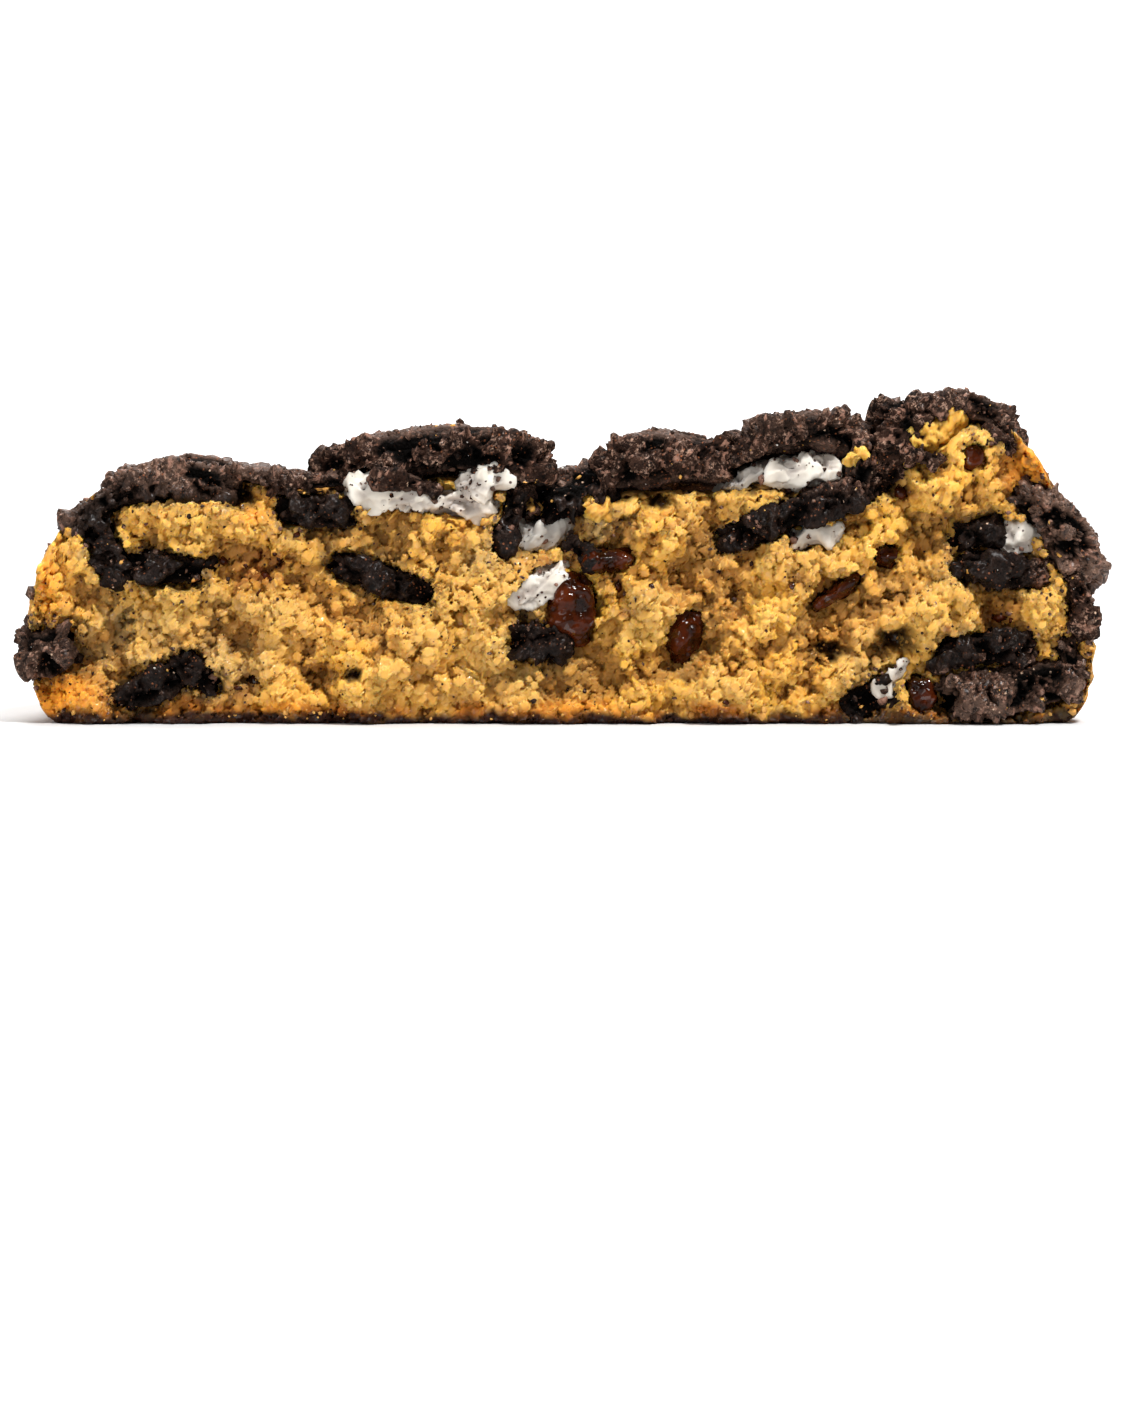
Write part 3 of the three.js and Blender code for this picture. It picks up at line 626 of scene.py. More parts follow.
class Finish:
    """One material's tree, with its Principled shader."""

    def __init__(self, name, **uniform):
        self.material = bpy.data.materials.new(name)
        self.material.use_nodes = True
        self.tree = self.material.node_tree
        self.shader = self.tree.nodes["Principled BSDF"]
        self.set(**uniform)

    def set(self, **sockets):
        """Values or links for the shader's sockets. An underscore in a name stands for a space."""
        for name, value in sockets.items():
            self.fill(self.shader.inputs[name.replace("_", " ")], value)

    def fill(self, socket, value):
        if isinstance(value, Value):
            self.tree.links.new(value.socket, socket)
        elif isinstance(value, tuple) and len(value) == 3 and socket.type == "RGBA":
            socket.default_value = (*value, 1)
        else:
            socket.default_value = value

    def node(self, kind, settings, sockets, output=0):
        """Adds a node: its settings first, then the values or links of its sockets."""
        node = self.tree.nodes.new(kind)
        for name, value in settings.items():
            setattr(node, name, value)
        for key, value in sockets.items():
            self.fill(node.inputs[key], value)
        return Value(self, node.outputs[output])

    def place(self, shift):
        """The point of the surface in metres, as the objects all sit at the origin, shifted along x."""
        point = self.node("ShaderNodeTexCoord", {}, {}, "Object")
        return self.node("ShaderNodeVectorMath", {"operation": "ADD"}, {0: point, 1: (shift, 0, 0)})

    def value(self, name):
        """One of the piece's own values."""
        return self.node("ShaderNodeAttribute", {"attribute_name": name}, {}, "Fac")

    def clouds(self, size, detail=2.0, shift=0.0, harsh=0.5):
        """Soft noise about 0.5, with blobs of this size in millimetres."""
        look = {"Vector": self.place(shift), "Scale": 1 / (size * MM), "Detail": detail, "Roughness": harsh}
        return self.node("ShaderNodeTexNoise", {}, look)

    def cells(self, size, shift=0.0, output="Distance"):
        """Distance to the nearest of points spread this far apart, in millimetres, or that point's own
        colour."""
        look = {"Vector": self.place(shift), "Scale": 1 / (size * MM)}
        return self.node("ShaderNodeTexVoronoi", {}, look, output)

    def specks(self, size, shift, edge, full, rare, soft=0.02):
        """Specks at points spread this far apart: 0 beyond edge, 1 within full. Each point has an even
        random number of its own, and only those above rare carry a speck."""
        own = self.node("ShaderNodeSeparateColor", {}, {0: self.cells(size, shift, "Color")})
        return self.cells(size, shift).step(edge, full) * own.step(rare, rare + soft)

    def mix(self, part, first, second):
        """The first colour where part is 0, the second where it is 1."""
        return self.node("ShaderNodeMix", {"data_type": "RGBA"}, {"Factor": part, 6: first, 7: second}, 2)

    def layers(self, ground, *coats):
        """Colours laid over a ground one by one. With each comes how much of it shows."""
        mixed = paint(ground)
        for part, colour in coats:
            mixed = self.mix(part, mixed, colour if isinstance(colour, Value) else paint(colour))
        return mixed

    def bump(self, height, depth, strength=1.0):
        """Turns height, from 0 to 1, into shading of bumps of this depth in millimetres."""
        sockets = {"Height": height, "Distance": depth * MM, "Strength": strength}
        self.set(Normal=self.node("ShaderNodeBump", {}, sockets))


def paint(hex_colour):
    """A colour as on a screen, such as 0xE0A040, turned into the linear numbers that Blender mixes."""
    parts = [((hex_colour >> shift) & 255) / 255 for shift in (16, 8, 0)]
    return tuple(p / 12.92 if p <= 0.04045 else ((p + 0.055) / 1.055) ** 2.4 for p in parts)


print("butter yellow, as Blender mixes it: %.2f %.2f %.2f" % paint(0xE2B662))

# %% [markdown]
# Moist crumb is see-through in thin grains, so light goes in, spreads and comes out yellow: that is
# subsurface scattering. Its colour isn't even. What stands out is painted butter yellow, as painted light,
# the hollows are painted brown and a little olive, as painted shade, some clumps are painted paler, as
# painted light, and black dust greys it beside the wafers. Tiny black specks and stains of melted
# chocolate lie on it, and along the base it is baked orange. The mesh gives the hollows, the dust and the
# baking as values.

# %% Finish of the torn crumb
crumb = Finish("torn_crumb", Roughness=0.55, Specular_IOR_Level=0.15, Coat_Roughness=0.12)
crumb.set(Subsurface_Weight=0.6, Subsurface_Scale=1.0 * MM, Subsurface_Radius=(1.0, 0.6, 0.2))
hollow, dusted, grey, grain = (crumb.value(name) for name in ("hollow", "dusted", "grey", "grain"))
# Painted shade: the colour that the hollows of the relief are painted, a darker brown and a little olive
hollow_shade_colour = crumb.layers(0x9A682A, (crumb.clouds(4, 3, 0.17).step(0.35, 0.65) * (0.3 + 0.7 * grey), 0x7C6A42))
dust_specks = crumb.specks(0.45, 0.6, 0.32, 0.22, 0.82) * (dusted + 0.06)
crumb.set(Base_Color=crumb.layers(
    0xC28E42,
    (crumb.clouds(10, 3).step(0.36, 0.62), 0xD09A38),
    (crumb.clouds(3.4, 3, 0.1).step(0.5, 0.72) * 0.35, 0xDEB660),
    (crumb.clouds(5, 3, 0.15).step(0.5, 0.66) * 0.2, 0xA8803C),
    # Painted light: the golden marks paint clumps paler where they catch the light
    (crumb.value("golden") * 0.8, 0xECB04C),
    (grey * crumb.clouds(2.5, 3, 0.16).step(0.25, 0.55) * 0.8, 0x97805A),
    (grain.step(0.5, 0.9) * 0.2, 0xE6C47C),
    (grain.step(0.25, 0.0) * 0.1, 0x946428),
    # Painted light on the crests and painted shade in the hollows, set by how deep the relief lies
    (hollow.step(0.4, 0.0) * 0.4, 0xE2B662),
    (hollow.step(0.45, 0.8) * 0.85, hollow_shade_colour),
    (crumb.value("stained") * crumb.clouds(1.6, 4, 0.2).step(0.3, 0.62), 0x7A3A14),
    (crumb.value("baked") * crumb.clouds(3.2, 4, 0.3).step(0.3, 0.55), 0xA46218),
    (crumb.value("amber"), 0xEE9A2C),
    # The very base is painted near black: partly its burnt crust, partly painted shade along the base
    (crumb.value("burnt_and_shaded_base") * (crumb.clouds(2.6, 3, 0.34).step(0.25, 0.5) * 0.3 + 0.7), 0x2C1004),
    ((dusted * crumb.clouds(0.8, 5, 0.4).step(0.35, 0.65)).clamp() * 0.75, 0x57452A),
    # Painted shade: the insides of the deep holes are painted dark
    (crumb.value("deep"), 0x2A1606),
    ((crumb.specks(1.1, 0.5, 0.17, 0.1, 0.75) + dust_specks).clamp(), 0x24130C),
))
crumb.set(Coat_Weight=crumb.clouds(0.5, 2, 0.7).step(0.54, 0.64) * hollow.step(0.8, 0.3))
crumb.bump(crumb.clouds(0.45, 3, 0.9), 0.1, 0.8)

# %% [markdown]
# Crust is the same dough, dried and browned by the oven: matte, golden round the side, tan to brown on
# the top, where it has cracked and shows paler, moist dough in the cracks. Its hollows are painted darker,
# as painted shade, and its lumps paler, as painted light. It needs hardly any scattering.

# %% Finish of the baked crust
crust = Finish("baked_crust", Specular_IOR_Level=0.25)
crust.set(Subsurface_Weight=0.12, Subsurface_Scale=0.8 * MM, Subsurface_Radius=(1.0, 0.5, 0.2))
tanned = crust.clouds(11, 4).step(0.3, 0.7)
crust.set(Base_Color=crust.layers(
    0xD49C48,
    (tanned, 0xB87A2E),
    (crust.value("top") * (tanned * 0.4 + 0.5), 0x8E5A22),
    (crust.clouds(3.1, 4, 0.1).step(0.42, 0.75) * 0.5, 0xC99850),
    # Painted shade in the hollows of the relief, and painted light on its lumps
    (crust.value("hollow").step(0.3, 0.9) * 0.6, 0x6E4016),
    (crust.value("hollow").step(0.3, 0.0) * 0.35, 0xD8A860),
    (crust.value("crack") * 0.8, 0xD2A454),
    (crust.value("baked"), 0x9A5414),
    (crust.value("dusted") * crust.clouds(1.2, 5, 0.4).step(0.42, 0.66), 0x4A3525),
    (crust.specks(1.5, 0.5, 0.26, 0.14, 0.7), 0x2A1710),
))
crust.set(Roughness=crust.clouds(0.7, 3, 0.7).step(0.3, 0.7) * 0.25 + 0.5)
crust.bump(crust.cells(0.42, shift=0.8) * -0.5 + crust.clouds(0.9, 5, 0.9, 0.6), 0.22, 0.8)

# %% [markdown]
# The wafers are almost black cocoa biscuit. A broken face is a coarse, porous mass of crumbs. Its crests
# are painted brown, partly as brown crumbs and partly as painted highlight, and its pores and pits are
# painted black, as painted shade. Outer faces and some whole wafers are painted paler, as painted sheen.
# Brown-red dust and a few pale sugar grains cling to it.

# %% Finish of the wafers
wafer = Finish("cocoa_wafer", Specular_IOR_Level=0.06, Coat_Roughness=0.3, Roughness=0.8)
pore_shade, outer, moist, dry = (wafer.value(name) for name in ("hollow", "outer", "moist", "dry"))
# The crests, which take the painted highlight
open_tips = pore_shade.step(0.55, 0.15)
crumbly = wafer.clouds(0.5, 4, 0.5, 0.75).step(0.5, 0.66) * wafer.clouds(2.2, 3, 0.52).step(0.35, 0.6)
# Painted shade: small pits painted black at random
pits = wafer.clouds(0.7, 4, 0.55, 0.7).step(0.46, 0.38) * (1 - outer * 0.6)
wafer.set(Base_Color=wafer.layers(
    0x1A0F0B,
    (wafer.clouds(1.1, 4).step(0.35, 0.7), 0x3A261D),
    # Painted sheen: the outer faces are painted a paler grey-brown
    (outer * 0.85, 0x5E4A40),
    # Painted sheen: some wafers are painted a paler grey-brown; loose crumbs take it as a random tone
    (dry * wafer.clouds(2.4, 4, 0.53).step(0.3, 0.6) * 0.75, 0x72584A),
    # Brown crumbs painted only on the crests: partly their own colour, partly painted highlight
    (crumbly * open_tips * (1 - moist * 0.8), 0xB08A74),
    (wafer.value("grain").step(0.7, 1.0) * (0.8 - moist * 0.7), 0x9A7260),
    (moist * 0.7, 0x0C0705),
    # Painted shade: the pores are painted black by how deep they lie
    (pore_shade.step(0.4, 0.75), 0x040201),
    (pits * 0.85, 0x050302),
    (wafer.specks(0.36, 0.3, 0.38, 0.22, 0.8) * wafer.clouds(4.0, 3, 0.4).step(0.38, 0.62), 0x8A5438),
    (wafer.specks(0.6, 0.6, 0.26, 0.14, 0.965, 0.005), 0xD2B196),
))
wafer.set(Coat_Weight=(crumbly * 0.5 + outer * 0.5 + dry * 0.25 + moist * 0.1) * open_tips)
wafer.bump(wafer.cells(0.3, shift=0.8) * -0.7 + wafer.clouds(0.34, 4, 0.9, 0.7), 0.3, 1.0)

# %% [markdown]
# The filling is a soft white sugar cream. It smears, so its faces are smooth with dragged ridges, and wafer
# dust sticks to it. Scattering keeps its shadows light. Its hollows are painted grey, as painted shade, and
# a few pieces are painted grey all over, as painted shade.

# %% Finish of the cream
cream = Finish("white_cream", Specular_IOR_Level=0.45)
cream.set(Subsurface_Weight=0.5, Subsurface_Scale=1.2 * MM, Subsurface_Radius=(1.0, 0.9, 0.8))
cream.set(Base_Color=cream.layers(
    0xC8BFB2,
    (cream.clouds(2.5, 3).step(0.3, 0.7), 0xDED7CB),
    # Painted shade: the hollows of the cream are painted grey
    (cream.value("hollow").step(0.25, 0.8) * 0.7, 0x8D8079),
    # Painted shade: some pieces of cream are painted grey all over
    (cream.value("cream_shade") * 0.5, 0x8F8C88),
    (cream.clouds(1.6, 5, 0.4).step(0.62, 0.72) * 0.5, 0x8F7F77),
    (cream.specks(0.8, 0.2, 0.24, 0.14, 0.78), 0x4A2A20),
))
cream.set(Roughness=cream.clouds(1.2, 2, 0.7).step(0.3, 0.7) * 0.25 + 0.35)
cream.bump(cream.clouds(0.9, 4, 0.9) + cream.cells(0.6, shift=0.8) * -0.3, 0.12, 0.6)

# %% [markdown]
# Melted chocolate is a dark, red-brown fluid with a wet skin. The shape and the lights make its
# highlights: sharp where it has run, and duller where it has set.

# %% Finish of the chocolate
chocolate = Finish("melted_chocolate", Specular_IOR_Level=0.15, Coat_Roughness=0.06)
chocolate.set(Base_Color=chocolate.layers(
    0x160500,
    (chocolate.clouds(2.2, 3).step(0.3, 0.7), 0x4A1C08),
    # Painted shade: the hollows of the chocolate are painted darker
    (chocolate.value("hollow").step(0.2, 1.0) * 0.7, 0x120503),
))
chocolate.set(Roughness=chocolate.clouds(0.8, 3, 0.5).step(0.5, 0.75) * 0.25 + 0.08)
chocolate.set(Coat_Weight=chocolate.clouds(2.0, 1, 0.6).step(0.6, 0.63))
chocolate.bump(chocolate.clouds(1.8, 1, 0.9), 0.3, 0.9)
print("finishes:", [finish.name for finish in bpy.data.materials])

# %% [markdown]
# Torn dough isn't the same all over. Some clumps catch the light, some are greyish or soaked with
# chocolate, some are full of wafer dust, and the edges are baked. Soft oval marks say where.

# %% Marks on the torn face
# For each mark: middle x, z, half width, half height and strength
MARKS = {
    "baked": [
        (46.6, 26, 2.6, 3.4, 0.9),
        (-49.8, 16.5, 2.0, 3.0, 0.3),
        (-50.3, 3.0, 3.6, 2.2, 0.8),
        (52.4, 6.6, 1.2, 3.0, 0.8),
        (-30.5, 20.8, 2.0, 1.0, 0.3),
    ],
    "stained": [
        (-29.5, 15.2, 3.4, 2.6, 0.75),
        (-45.0, 2.2, 1.6, 0.9, 0.9),
        (-31.5, 3.4, 1.3, 1.4, 0.8),
        (34.6, 23.0, 1.2, 1.0, 0.9),
        (38.9, 9.6, 0.9, 0.7, 1.0),
        (24.0, 14.6, 1.6, 1.2, 0.7),
        (9.6, 14.4, 2.0, 1.4, 0.5),
        (-12.5, 3.0, 1.0, 0.7, 0.5),
        (17.0, 1.6, 1.4, 0.8, 0.6),
        (47.3, 27.4, 0.8, 0.5, 1.0),
        (48.6, 25.0, 0.6, 0.8, 1.0),
        (43.6, 10.8, 1.6, 0.9, 0.6),
        (-0.6, 16.2, 2.8, 0.9, 0.8),
        (6.6, 11.2, 1.2, 0.5, 0.9),
        (5.4, 14.2, 0.8, 0.8, 0.8),
    ],
    "dusted": [
        (50.6, 1.6, 4.6, 2.4, 1.0),
        (37.0, 1.2, 5.0, 1.8, 0.7),
        (46.0, 12.8, 1.6, 0.8, 0.4),
        (36.2, 26.8, 2.0, 0.8, 1.2),
        (44.0, 28.2, 1.6, 1.2, 1.2),
        (4.2, 19.8, 2.4, 2.2, 0.9),
        (2.6, 17.2, 1.8, 1.2, 1.2),
        (47.2, 26.6, 1.5, 2.4, 0.7),
    ],
    # Painted light: clumps painted a paler gold where they catch the light
    "golden": [
        (-49.6, 15.0, 3.0, 5.4, 1.0),
        (-41.5, 19.6, 3.6, 2.4, 0.7),
        (-29.5, 22.0, 3.4, 2.2, 0.8),
        (-13.5, 18.8, 5.0, 2.2, 0.7),
        (-21.0, 9.6, 5.0, 4.0, 0.4),
        (8.0, 20.0, 3.4, 2.4, 0.7),
        (38.5, 26.5, 4.0, 4.6, 1.0),
        (20.0, 8.0, 5.0, 3.4, 0.6),
        (31.0, 14.8, 3.4, 2.4, 0.5),
        (46.0, 12.6, 4.6, 1.6, 0.7),
        (-26.0, 2.2, 6.0, 1.8, 0.5),
    ],
    "amber": [
        (-49.6, 2.8, 3.6, 1.9, 1.0),
        (-51.0, 13.5, 1.8, 3.4, 0.8),
        (47.2, 26.0, 2.2, 2.6, 0.9),
        (-28.0, 1.6, 2.6, 0.8, 0.7),
        (-30.4, 20.9, 1.8, 0.8, 0.5),
        (3.0, 1.6, 5.0, 0.8, 0.5),
    ],
    "grey": [
        (-44.0, 9.0, 5.6, 3.8, 0.9),
        (-33.0, 6.4, 4.0, 3.6, 0.8),
        (-31.5, 11.6, 5.0, 2.0, 0.6),
        (-8.4, 16.4, 2.4, 2.2, 0.9),
        (4.6, 19.6, 2.8, 2.0, 0.9),
        (8.6, 11.6, 2.2, 3.0, 0.5),
        (14.0, 5.0, 2.6, 4.0, 0.5),
        (-4.6, 5.2, 4.6, 2.4, 0.5),
        (-4.4, 11.0, 3.0, 3.0, 0.35),
        (30.6, 5.6, 3.0, 2.6, 0.6),
    ],
}
print("marks:", {name: len(marks) for name, marks in MARKS.items()})


def spots(name, x, z):
    """The largest of a set of soft oval marks at each point: strength * exp(-distance squared)."""
    level = np.zeros_like(x)
    for middle, high, wide, tall, strength in MARKS[name]:
        gauss = strength * np.exp(-(((x - middle) / wide) ** 2) - ((z - high) / tall) ** 2)
        level = np.maximum(level, gauss)
    return level


# %% [markdown]
# The torn face is one sheet of crumb from the base to the top of the cookie, closed behind by a skirt
# inside the crust. It is made in three strips side by side, which keeps each mesh small. A grid that
# follows the outline spends its points where they show. Every point is moved out or in by the relief,
# which also says where the hollows are.

# %% The torn crumb
FACE_COLUMNS = 1140
FACE_ROWS = 236
STRIPS = ("left", "middle", "right")
SKIRT = 3.2
# Each strip goes on behind the next one for this many columns, and dips this deep there
OVERLAP = 4
DIP = 4.0


def torn_outline(count):
    """x, lowest and highest z of columns of the torn face, closer together where its top contour is
    steep."""
    fine = np.linspace(-1.1 * RADIUS, 1.1 * RADIUS, 8001)
    angle = np.arctan2(BREAK_Y - COOKIE_MIDDLE_Y, fine)
    fine = fine[rim_radius(angle) > np.hypot(fine, BREAK_Y - COOKIE_MIDDLE_Y) + 0.02]
    high = top_height(fine, BREAK_Y)
    walked = np.concatenate([[0], np.cumsum(np.hypot(np.diff(fine), 0.4 * np.diff(high)))])
    x = np.interp(np.linspace(0, walked[-1], count), walked, fine)
    ragged = 0.35 * ripple(x, 0, 0, 2.6, 1.9) + 0.2 * ripple(x, 0, 0, 0.9, 2.7)
    return x, base_height(x, BREAK_Y), top_height(x, BREAK_Y) + ragged


def make_torn_strip(strip, x, low, high, dip):
    """A tube along x. Each of its rings goes up the torn sheet and returns through the skirt behind it.
    dip is how far each ring is moved in, behind the next strip."""
    z = low[:, None] + (high - low)[:, None] * np.linspace(0, 1, FACE_ROWS)
    x = np.repeat(x[:, None], FACE_ROWS, axis=1)
    edge = np.minimum(high[:, None] - z, z - low[:, None])
    rounding = 1.5 * (1 - smooth_step(-0.5, 1.0, edge)) ** 2
    y = BREAK_Y - crumb_out(x, z) + rounding + dip[:, None]
    middle = 0.5 * (low + high)
    skirt_z = np.stack([np.minimum(low + 2, middle), np.maximum(high - 2, middle)], axis=1)
    skirt_y = y[:, [0, -1]] + SKIRT
    rings = np.stack([
        np.concatenate([x[:, :1], x, x[:, -1:]], axis=1),
        np.concatenate([skirt_y[:, :1], y, skirt_y[:, 1:]], axis=1),
        np.concatenate([skirt_z[:, :1], z, skirt_z[:, 1:]], axis=1),
    ], axis=-1)
    ends = rings[[0, -1]].mean(axis=1)
    points = np.vstack([ends[:1], rings.reshape(-1, 3), ends[1:]])
    faces = outward(points, ring_faces(len(rings), FACE_ROWS + 2))

    px, pz = points[:, 0], points[:, 2]
    wafer_gap = nearest_gap(px, pz, ("wafer",))
    dust = 0.95 * smooth_step(1.7, -0.2, wafer_gap) + 0.25 * smooth_step(5, 1, wafer_gap)
    baked_edge = smooth_step(2.6, 1.2, pz + 0.9 * rough(px, 0, pz, 5, 2.6, 3))
    values = {name: spots(name, px, pz) for name in ("stained", "golden", "amber", "grey")}
    values.update({
        "hollow": np.clip(0.4 - crags(px, pz) / 2.6, 0, 1),
        "grain": granules.owner(px, pz),
        "dusted": np.maximum(dust, 1.3 * spots("dusted", px, pz)),
        "baked": np.maximum(spots("baked", px, pz), baked_edge),
        # Near black at the very base: burnt crust and painted shade
        "burnt_and_shaded_base": smooth_step(1.7, 0.6, pz + 0.6 * rough(px, 0, pz, 2.2, 1.1, 3)),
        # Where the painted shade of the deep holes lies
        "deep": hole_part(px, pz, 1.1)[0],
    })
    print("torn crumb, %s: %d triangles" % (strip, len(faces)))
    add_piece("torn_crumb_" + strip, points, faces, crumb.material, ["dough"], values)


outline = torn_outline(FACE_COLUMNS)
share = FACE_COLUMNS // len(STRIPS)
for number, strip in enumerate(STRIPS):
    first, last = number * share, (number + 1) * share
    columns = np.arange(max(0, first - OVERLAP), min(FACE_COLUMNS, last + 1 + OVERLAP))
    beyond = np.maximum(first - columns, columns - last) / OVERLAP
    dip = DIP * np.clip(beyond, 0, 1) ** 4
    make_torn_strip(strip, *(row[columns] for row in outline), dip)

# %% [markdown]
# The crust is the rest of the cookie: base, foot, side and top, as rings shaped like a D, from the middle
# of the base to the middle of the top. Domed lumps of three sizes, flat plates and cracks between them
# give the craggy baked skin.

# %% Rings and lumps of the crust
# Rings in each part
CRUST_ROWS = {"base": 34, "foot": 14, "shoulder": 62, "top": 108}


def rim_distance(angle):
    """From the middle of the break to the rim, in a direction seen from above: found by walking to it."""
    reach = np.full_like(angle, RADIUS)
    for _ in range(6):
        x, y = reach * np.cos(angle), BREAK_Y + reach * np.sin(angle) - COOKIE_MIDDLE_Y
        reach = reach + rim_radius(np.arctan2(y, x)) - np.hypot(x, y)
    return reach


def crust_rows():
    """How far each row of points is inside the rim, and whether it is on the upper side."""
    base, foot, shoulder, crown = (np.arange(1, count + 1) / count for count in CRUST_ROWS.values())
    inside = np.concatenate([
        FOOT_ROUND + (RADIUS - FOOT_ROUND) * (1 - base),
        FOOT_ROUND * (1 - np.sin(foot * TAU / 4)),
        SHOULDER_ROUND * (1 - np.cos(shoulder * TAU / 4) ** (2 / SHOULDER_SQUARE)),
        SHOULDER_ROUND + (RADIUS - SHOULDER_ROUND) * crown[:-1],
    ])
    upper = np.arange(len(inside)) >= len(base) + len(foot)
    return inside[:, None], upper[:, None]


def crust_relief(points):
    """How far the crust stands out: domes of three sizes and terraced plates, less the cracks of the top.
    Returns it with the cracks and the random number of each small dome."""
    large, _ = grains(points, 5.2, 0.3)
    middle, _ = grains(points, 2.1, 3.1)
    small, tag = grains(points, 0.95, 7.7)
    relief = 0.9 * (large**2 - 0.5) + 0.5 * (middle**2 - 0.5) + 0.4 * (small**2 - 0.5) + 0.3 * (tag - 0.5)
    plates = terraces(1.7 * rough(*points.T, 6.0, 2.2, 4), 0.4)
    crack = smooth_step(0.12, 0.03, np.abs(rough(*points.T, 15.0, 5.1, 5)))
    crack = crack * smooth_step(11, 17, points[:, 2])
    return relief + 0.6 * (plates - plates.mean()) - 1.3 * crack, crack, tag


def wafer_distance(points):
    """About how far each point is from the nearest wafer, taken as an oval body."""
    near = np.full(len(points), 99.0)
    for piece in PIECES:
        if piece["kind"] == "wafer":
            away = (points - piece["middle"]) @ piece["turn"] / np.array(piece["half"])
            near = np.minimum(near, (np.linalg.norm(away, axis=1) - 1) * min(piece["half"][:2]))
    return near


print("rings of the crust:", len(crust_rows()[0]))

# %% [markdown]
# The lumps push the crust along its own normals, and the base stays flat. The front edge follows the torn
# sheet and turns in behind it as a lip, so that no gap shows between the two.

# %% The baked crust
CRUST_ROUND = 424
LIP_DEPTH = 5.0
LIP_DOWN = 1.2


def make_crust():
    """Rings of CRUST_ROUND points, pushed along their normals by the relief, with a lip in front."""
    angle = np.linspace(0, TAU / 2, CRUST_ROUND)
    inside, upper = crust_rows()
    reach = rim_distance(angle) * (1 - inside / RADIUS)
    x = reach * np.cos(angle)
    y = BREAK_Y + reach * np.sin(angle)
    z = np.where(upper, top_height(x, y), base_height(x, y))
    rings = np.stack([x, y, z], axis=-1)
    poles = np.array([(0, BREAK_Y, 0), (0, BREAK_Y, top_height(np.array(0.0), np.array(BREAK_Y)))])
    points = np.vstack([poles[:1], rings.reshape(-1, 3), poles[1:]])
    faces = outward(points, ring_faces(len(inside), CRUST_ROUND))
    normals = point_normals(points, faces)

    # The closing chord in front gives its neighbours a normal to the front, which the lumps mustn't follow
    front = np.exp(-((points[:, 1] - BREAK_Y) / 0.3) ** 2)
    normals[:, 1] *= 1 - front
    normals /= np.maximum(np.linalg.norm(normals, axis=1, keepdims=True), 1e-9)
    relief, crack, tag = crust_relief(points)
    flat_base = smooth_step(0.2, 3.5, points[:, 2])
    edge_dive = 0.6 * np.exp(-(((points[:, 1] - BREAK_Y) / 1.2) ** 2))
    moved = points + normals * ((relief * 0.8 - edge_dive) * flat_base)[:, None]
    moved[:, 2] = np.maximum(moved[:, 2], 0)

    # The front edge follows the torn sheet, just behind it
    behind = np.exp(-(points[:, 1] - BREAK_Y) / 3.5)
    moved[:, 1] += behind * (1.4 - np.clip(torn_dough(moved[:, 0], moved[:, 2]), -3, 3))

    # The lip: two more columns at each end, the first turned in behind the torn sheet, the second low
    # inside, so that the chord that closes each ring runs where no hollow of the sheet can show it
    grid = moved[1:-1].reshape(len(inside), CRUST_ROUND, 3)
    lip = grid[:, [0, -1]].copy()
    lip[..., 1] += LIP_DEPTH
    lip[..., 2] += np.where(upper, -1, 1) * LIP_DOWN
    low = lip.copy()
    low[..., 0] *= 0.98
    low[..., 2] = np.minimum(low[..., 2], RIM_HEIGHT + 0.02 * low[..., 2])
    grid = np.concatenate([low[:, :1], lip[:, :1], grid, lip[:, 1:], low[:, 1:]], axis=1)
    ends = np.array([(0, BREAK_Y + LIP_DEPTH, low[row, :, 2].mean()) for row in (0, -1)])
    points = np.vstack([ends[:1], grid.reshape(-1, 3), ends[1:]])
    faces = outward(points, ring_faces(len(inside), CRUST_ROUND + 4))

    def spread(values):
        """The values of the grid, for the lips' columns and the two single points too."""
        rows = values[1:-1].reshape(len(inside), CRUST_ROUND)
        return np.concatenate([values[:1], np.pad(rows, ((0, 0), (2, 2)), mode="edge").ravel(), values[-1:]])

    px, _, pz = points.T
    right_peak = 0.7 * np.exp(-(((px - 46) / 6) ** 2) - ((pz - 26) / 5) ** 2)
    values = {
        "hollow": spread(np.clip(0.45 - relief / 2.4, 0, 1)),
        "grain": spread(tag),
        "crack": spread(crack),
        "top": smooth_step(13, 20, pz),
        "dusted": smooth_step(2.6, 0.2, wafer_distance(points)),
        "baked": np.maximum(smooth_step(4.0, 0.4, pz) * 0.8, right_peak),
    }
    print("crust: %d triangles, relief %.1f to %.1f mm" % (len(faces), relief.min(), relief.max()))
    add_piece("baked_crust", points, faces, crust.material, ["dough"], values)
    return points


crust_points = make_crust()

# %% [markdown]
# Each broken piece keeps the form of its solid: a slab with a ragged, squarish outline, rounded edges and
# drooping ends. Its points lie evenly along it, and closer together in the torn face, which shows most.

# %% Slabs
# Distance between the points of a piece in the torn face, and of any other piece
FINE_SPACING, COARSE_SPACING = 0.17, 0.3


def squared(value, power):
    """A power that keeps the sign. It makes circles squarer."""
    return np.sign(value) * np.abs(value) ** power


def evenly(curve, steps_of, spacing):
    """Parameters at even distances along a curve, given finely and the length of its steps."""
    walked = np.concatenate([[0], np.cumsum(steps_of)])
    count = max(12, int(walked[-1] / spacing))
    return np.interp(np.linspace(0, walked[-1], count + 1), walked, curve)


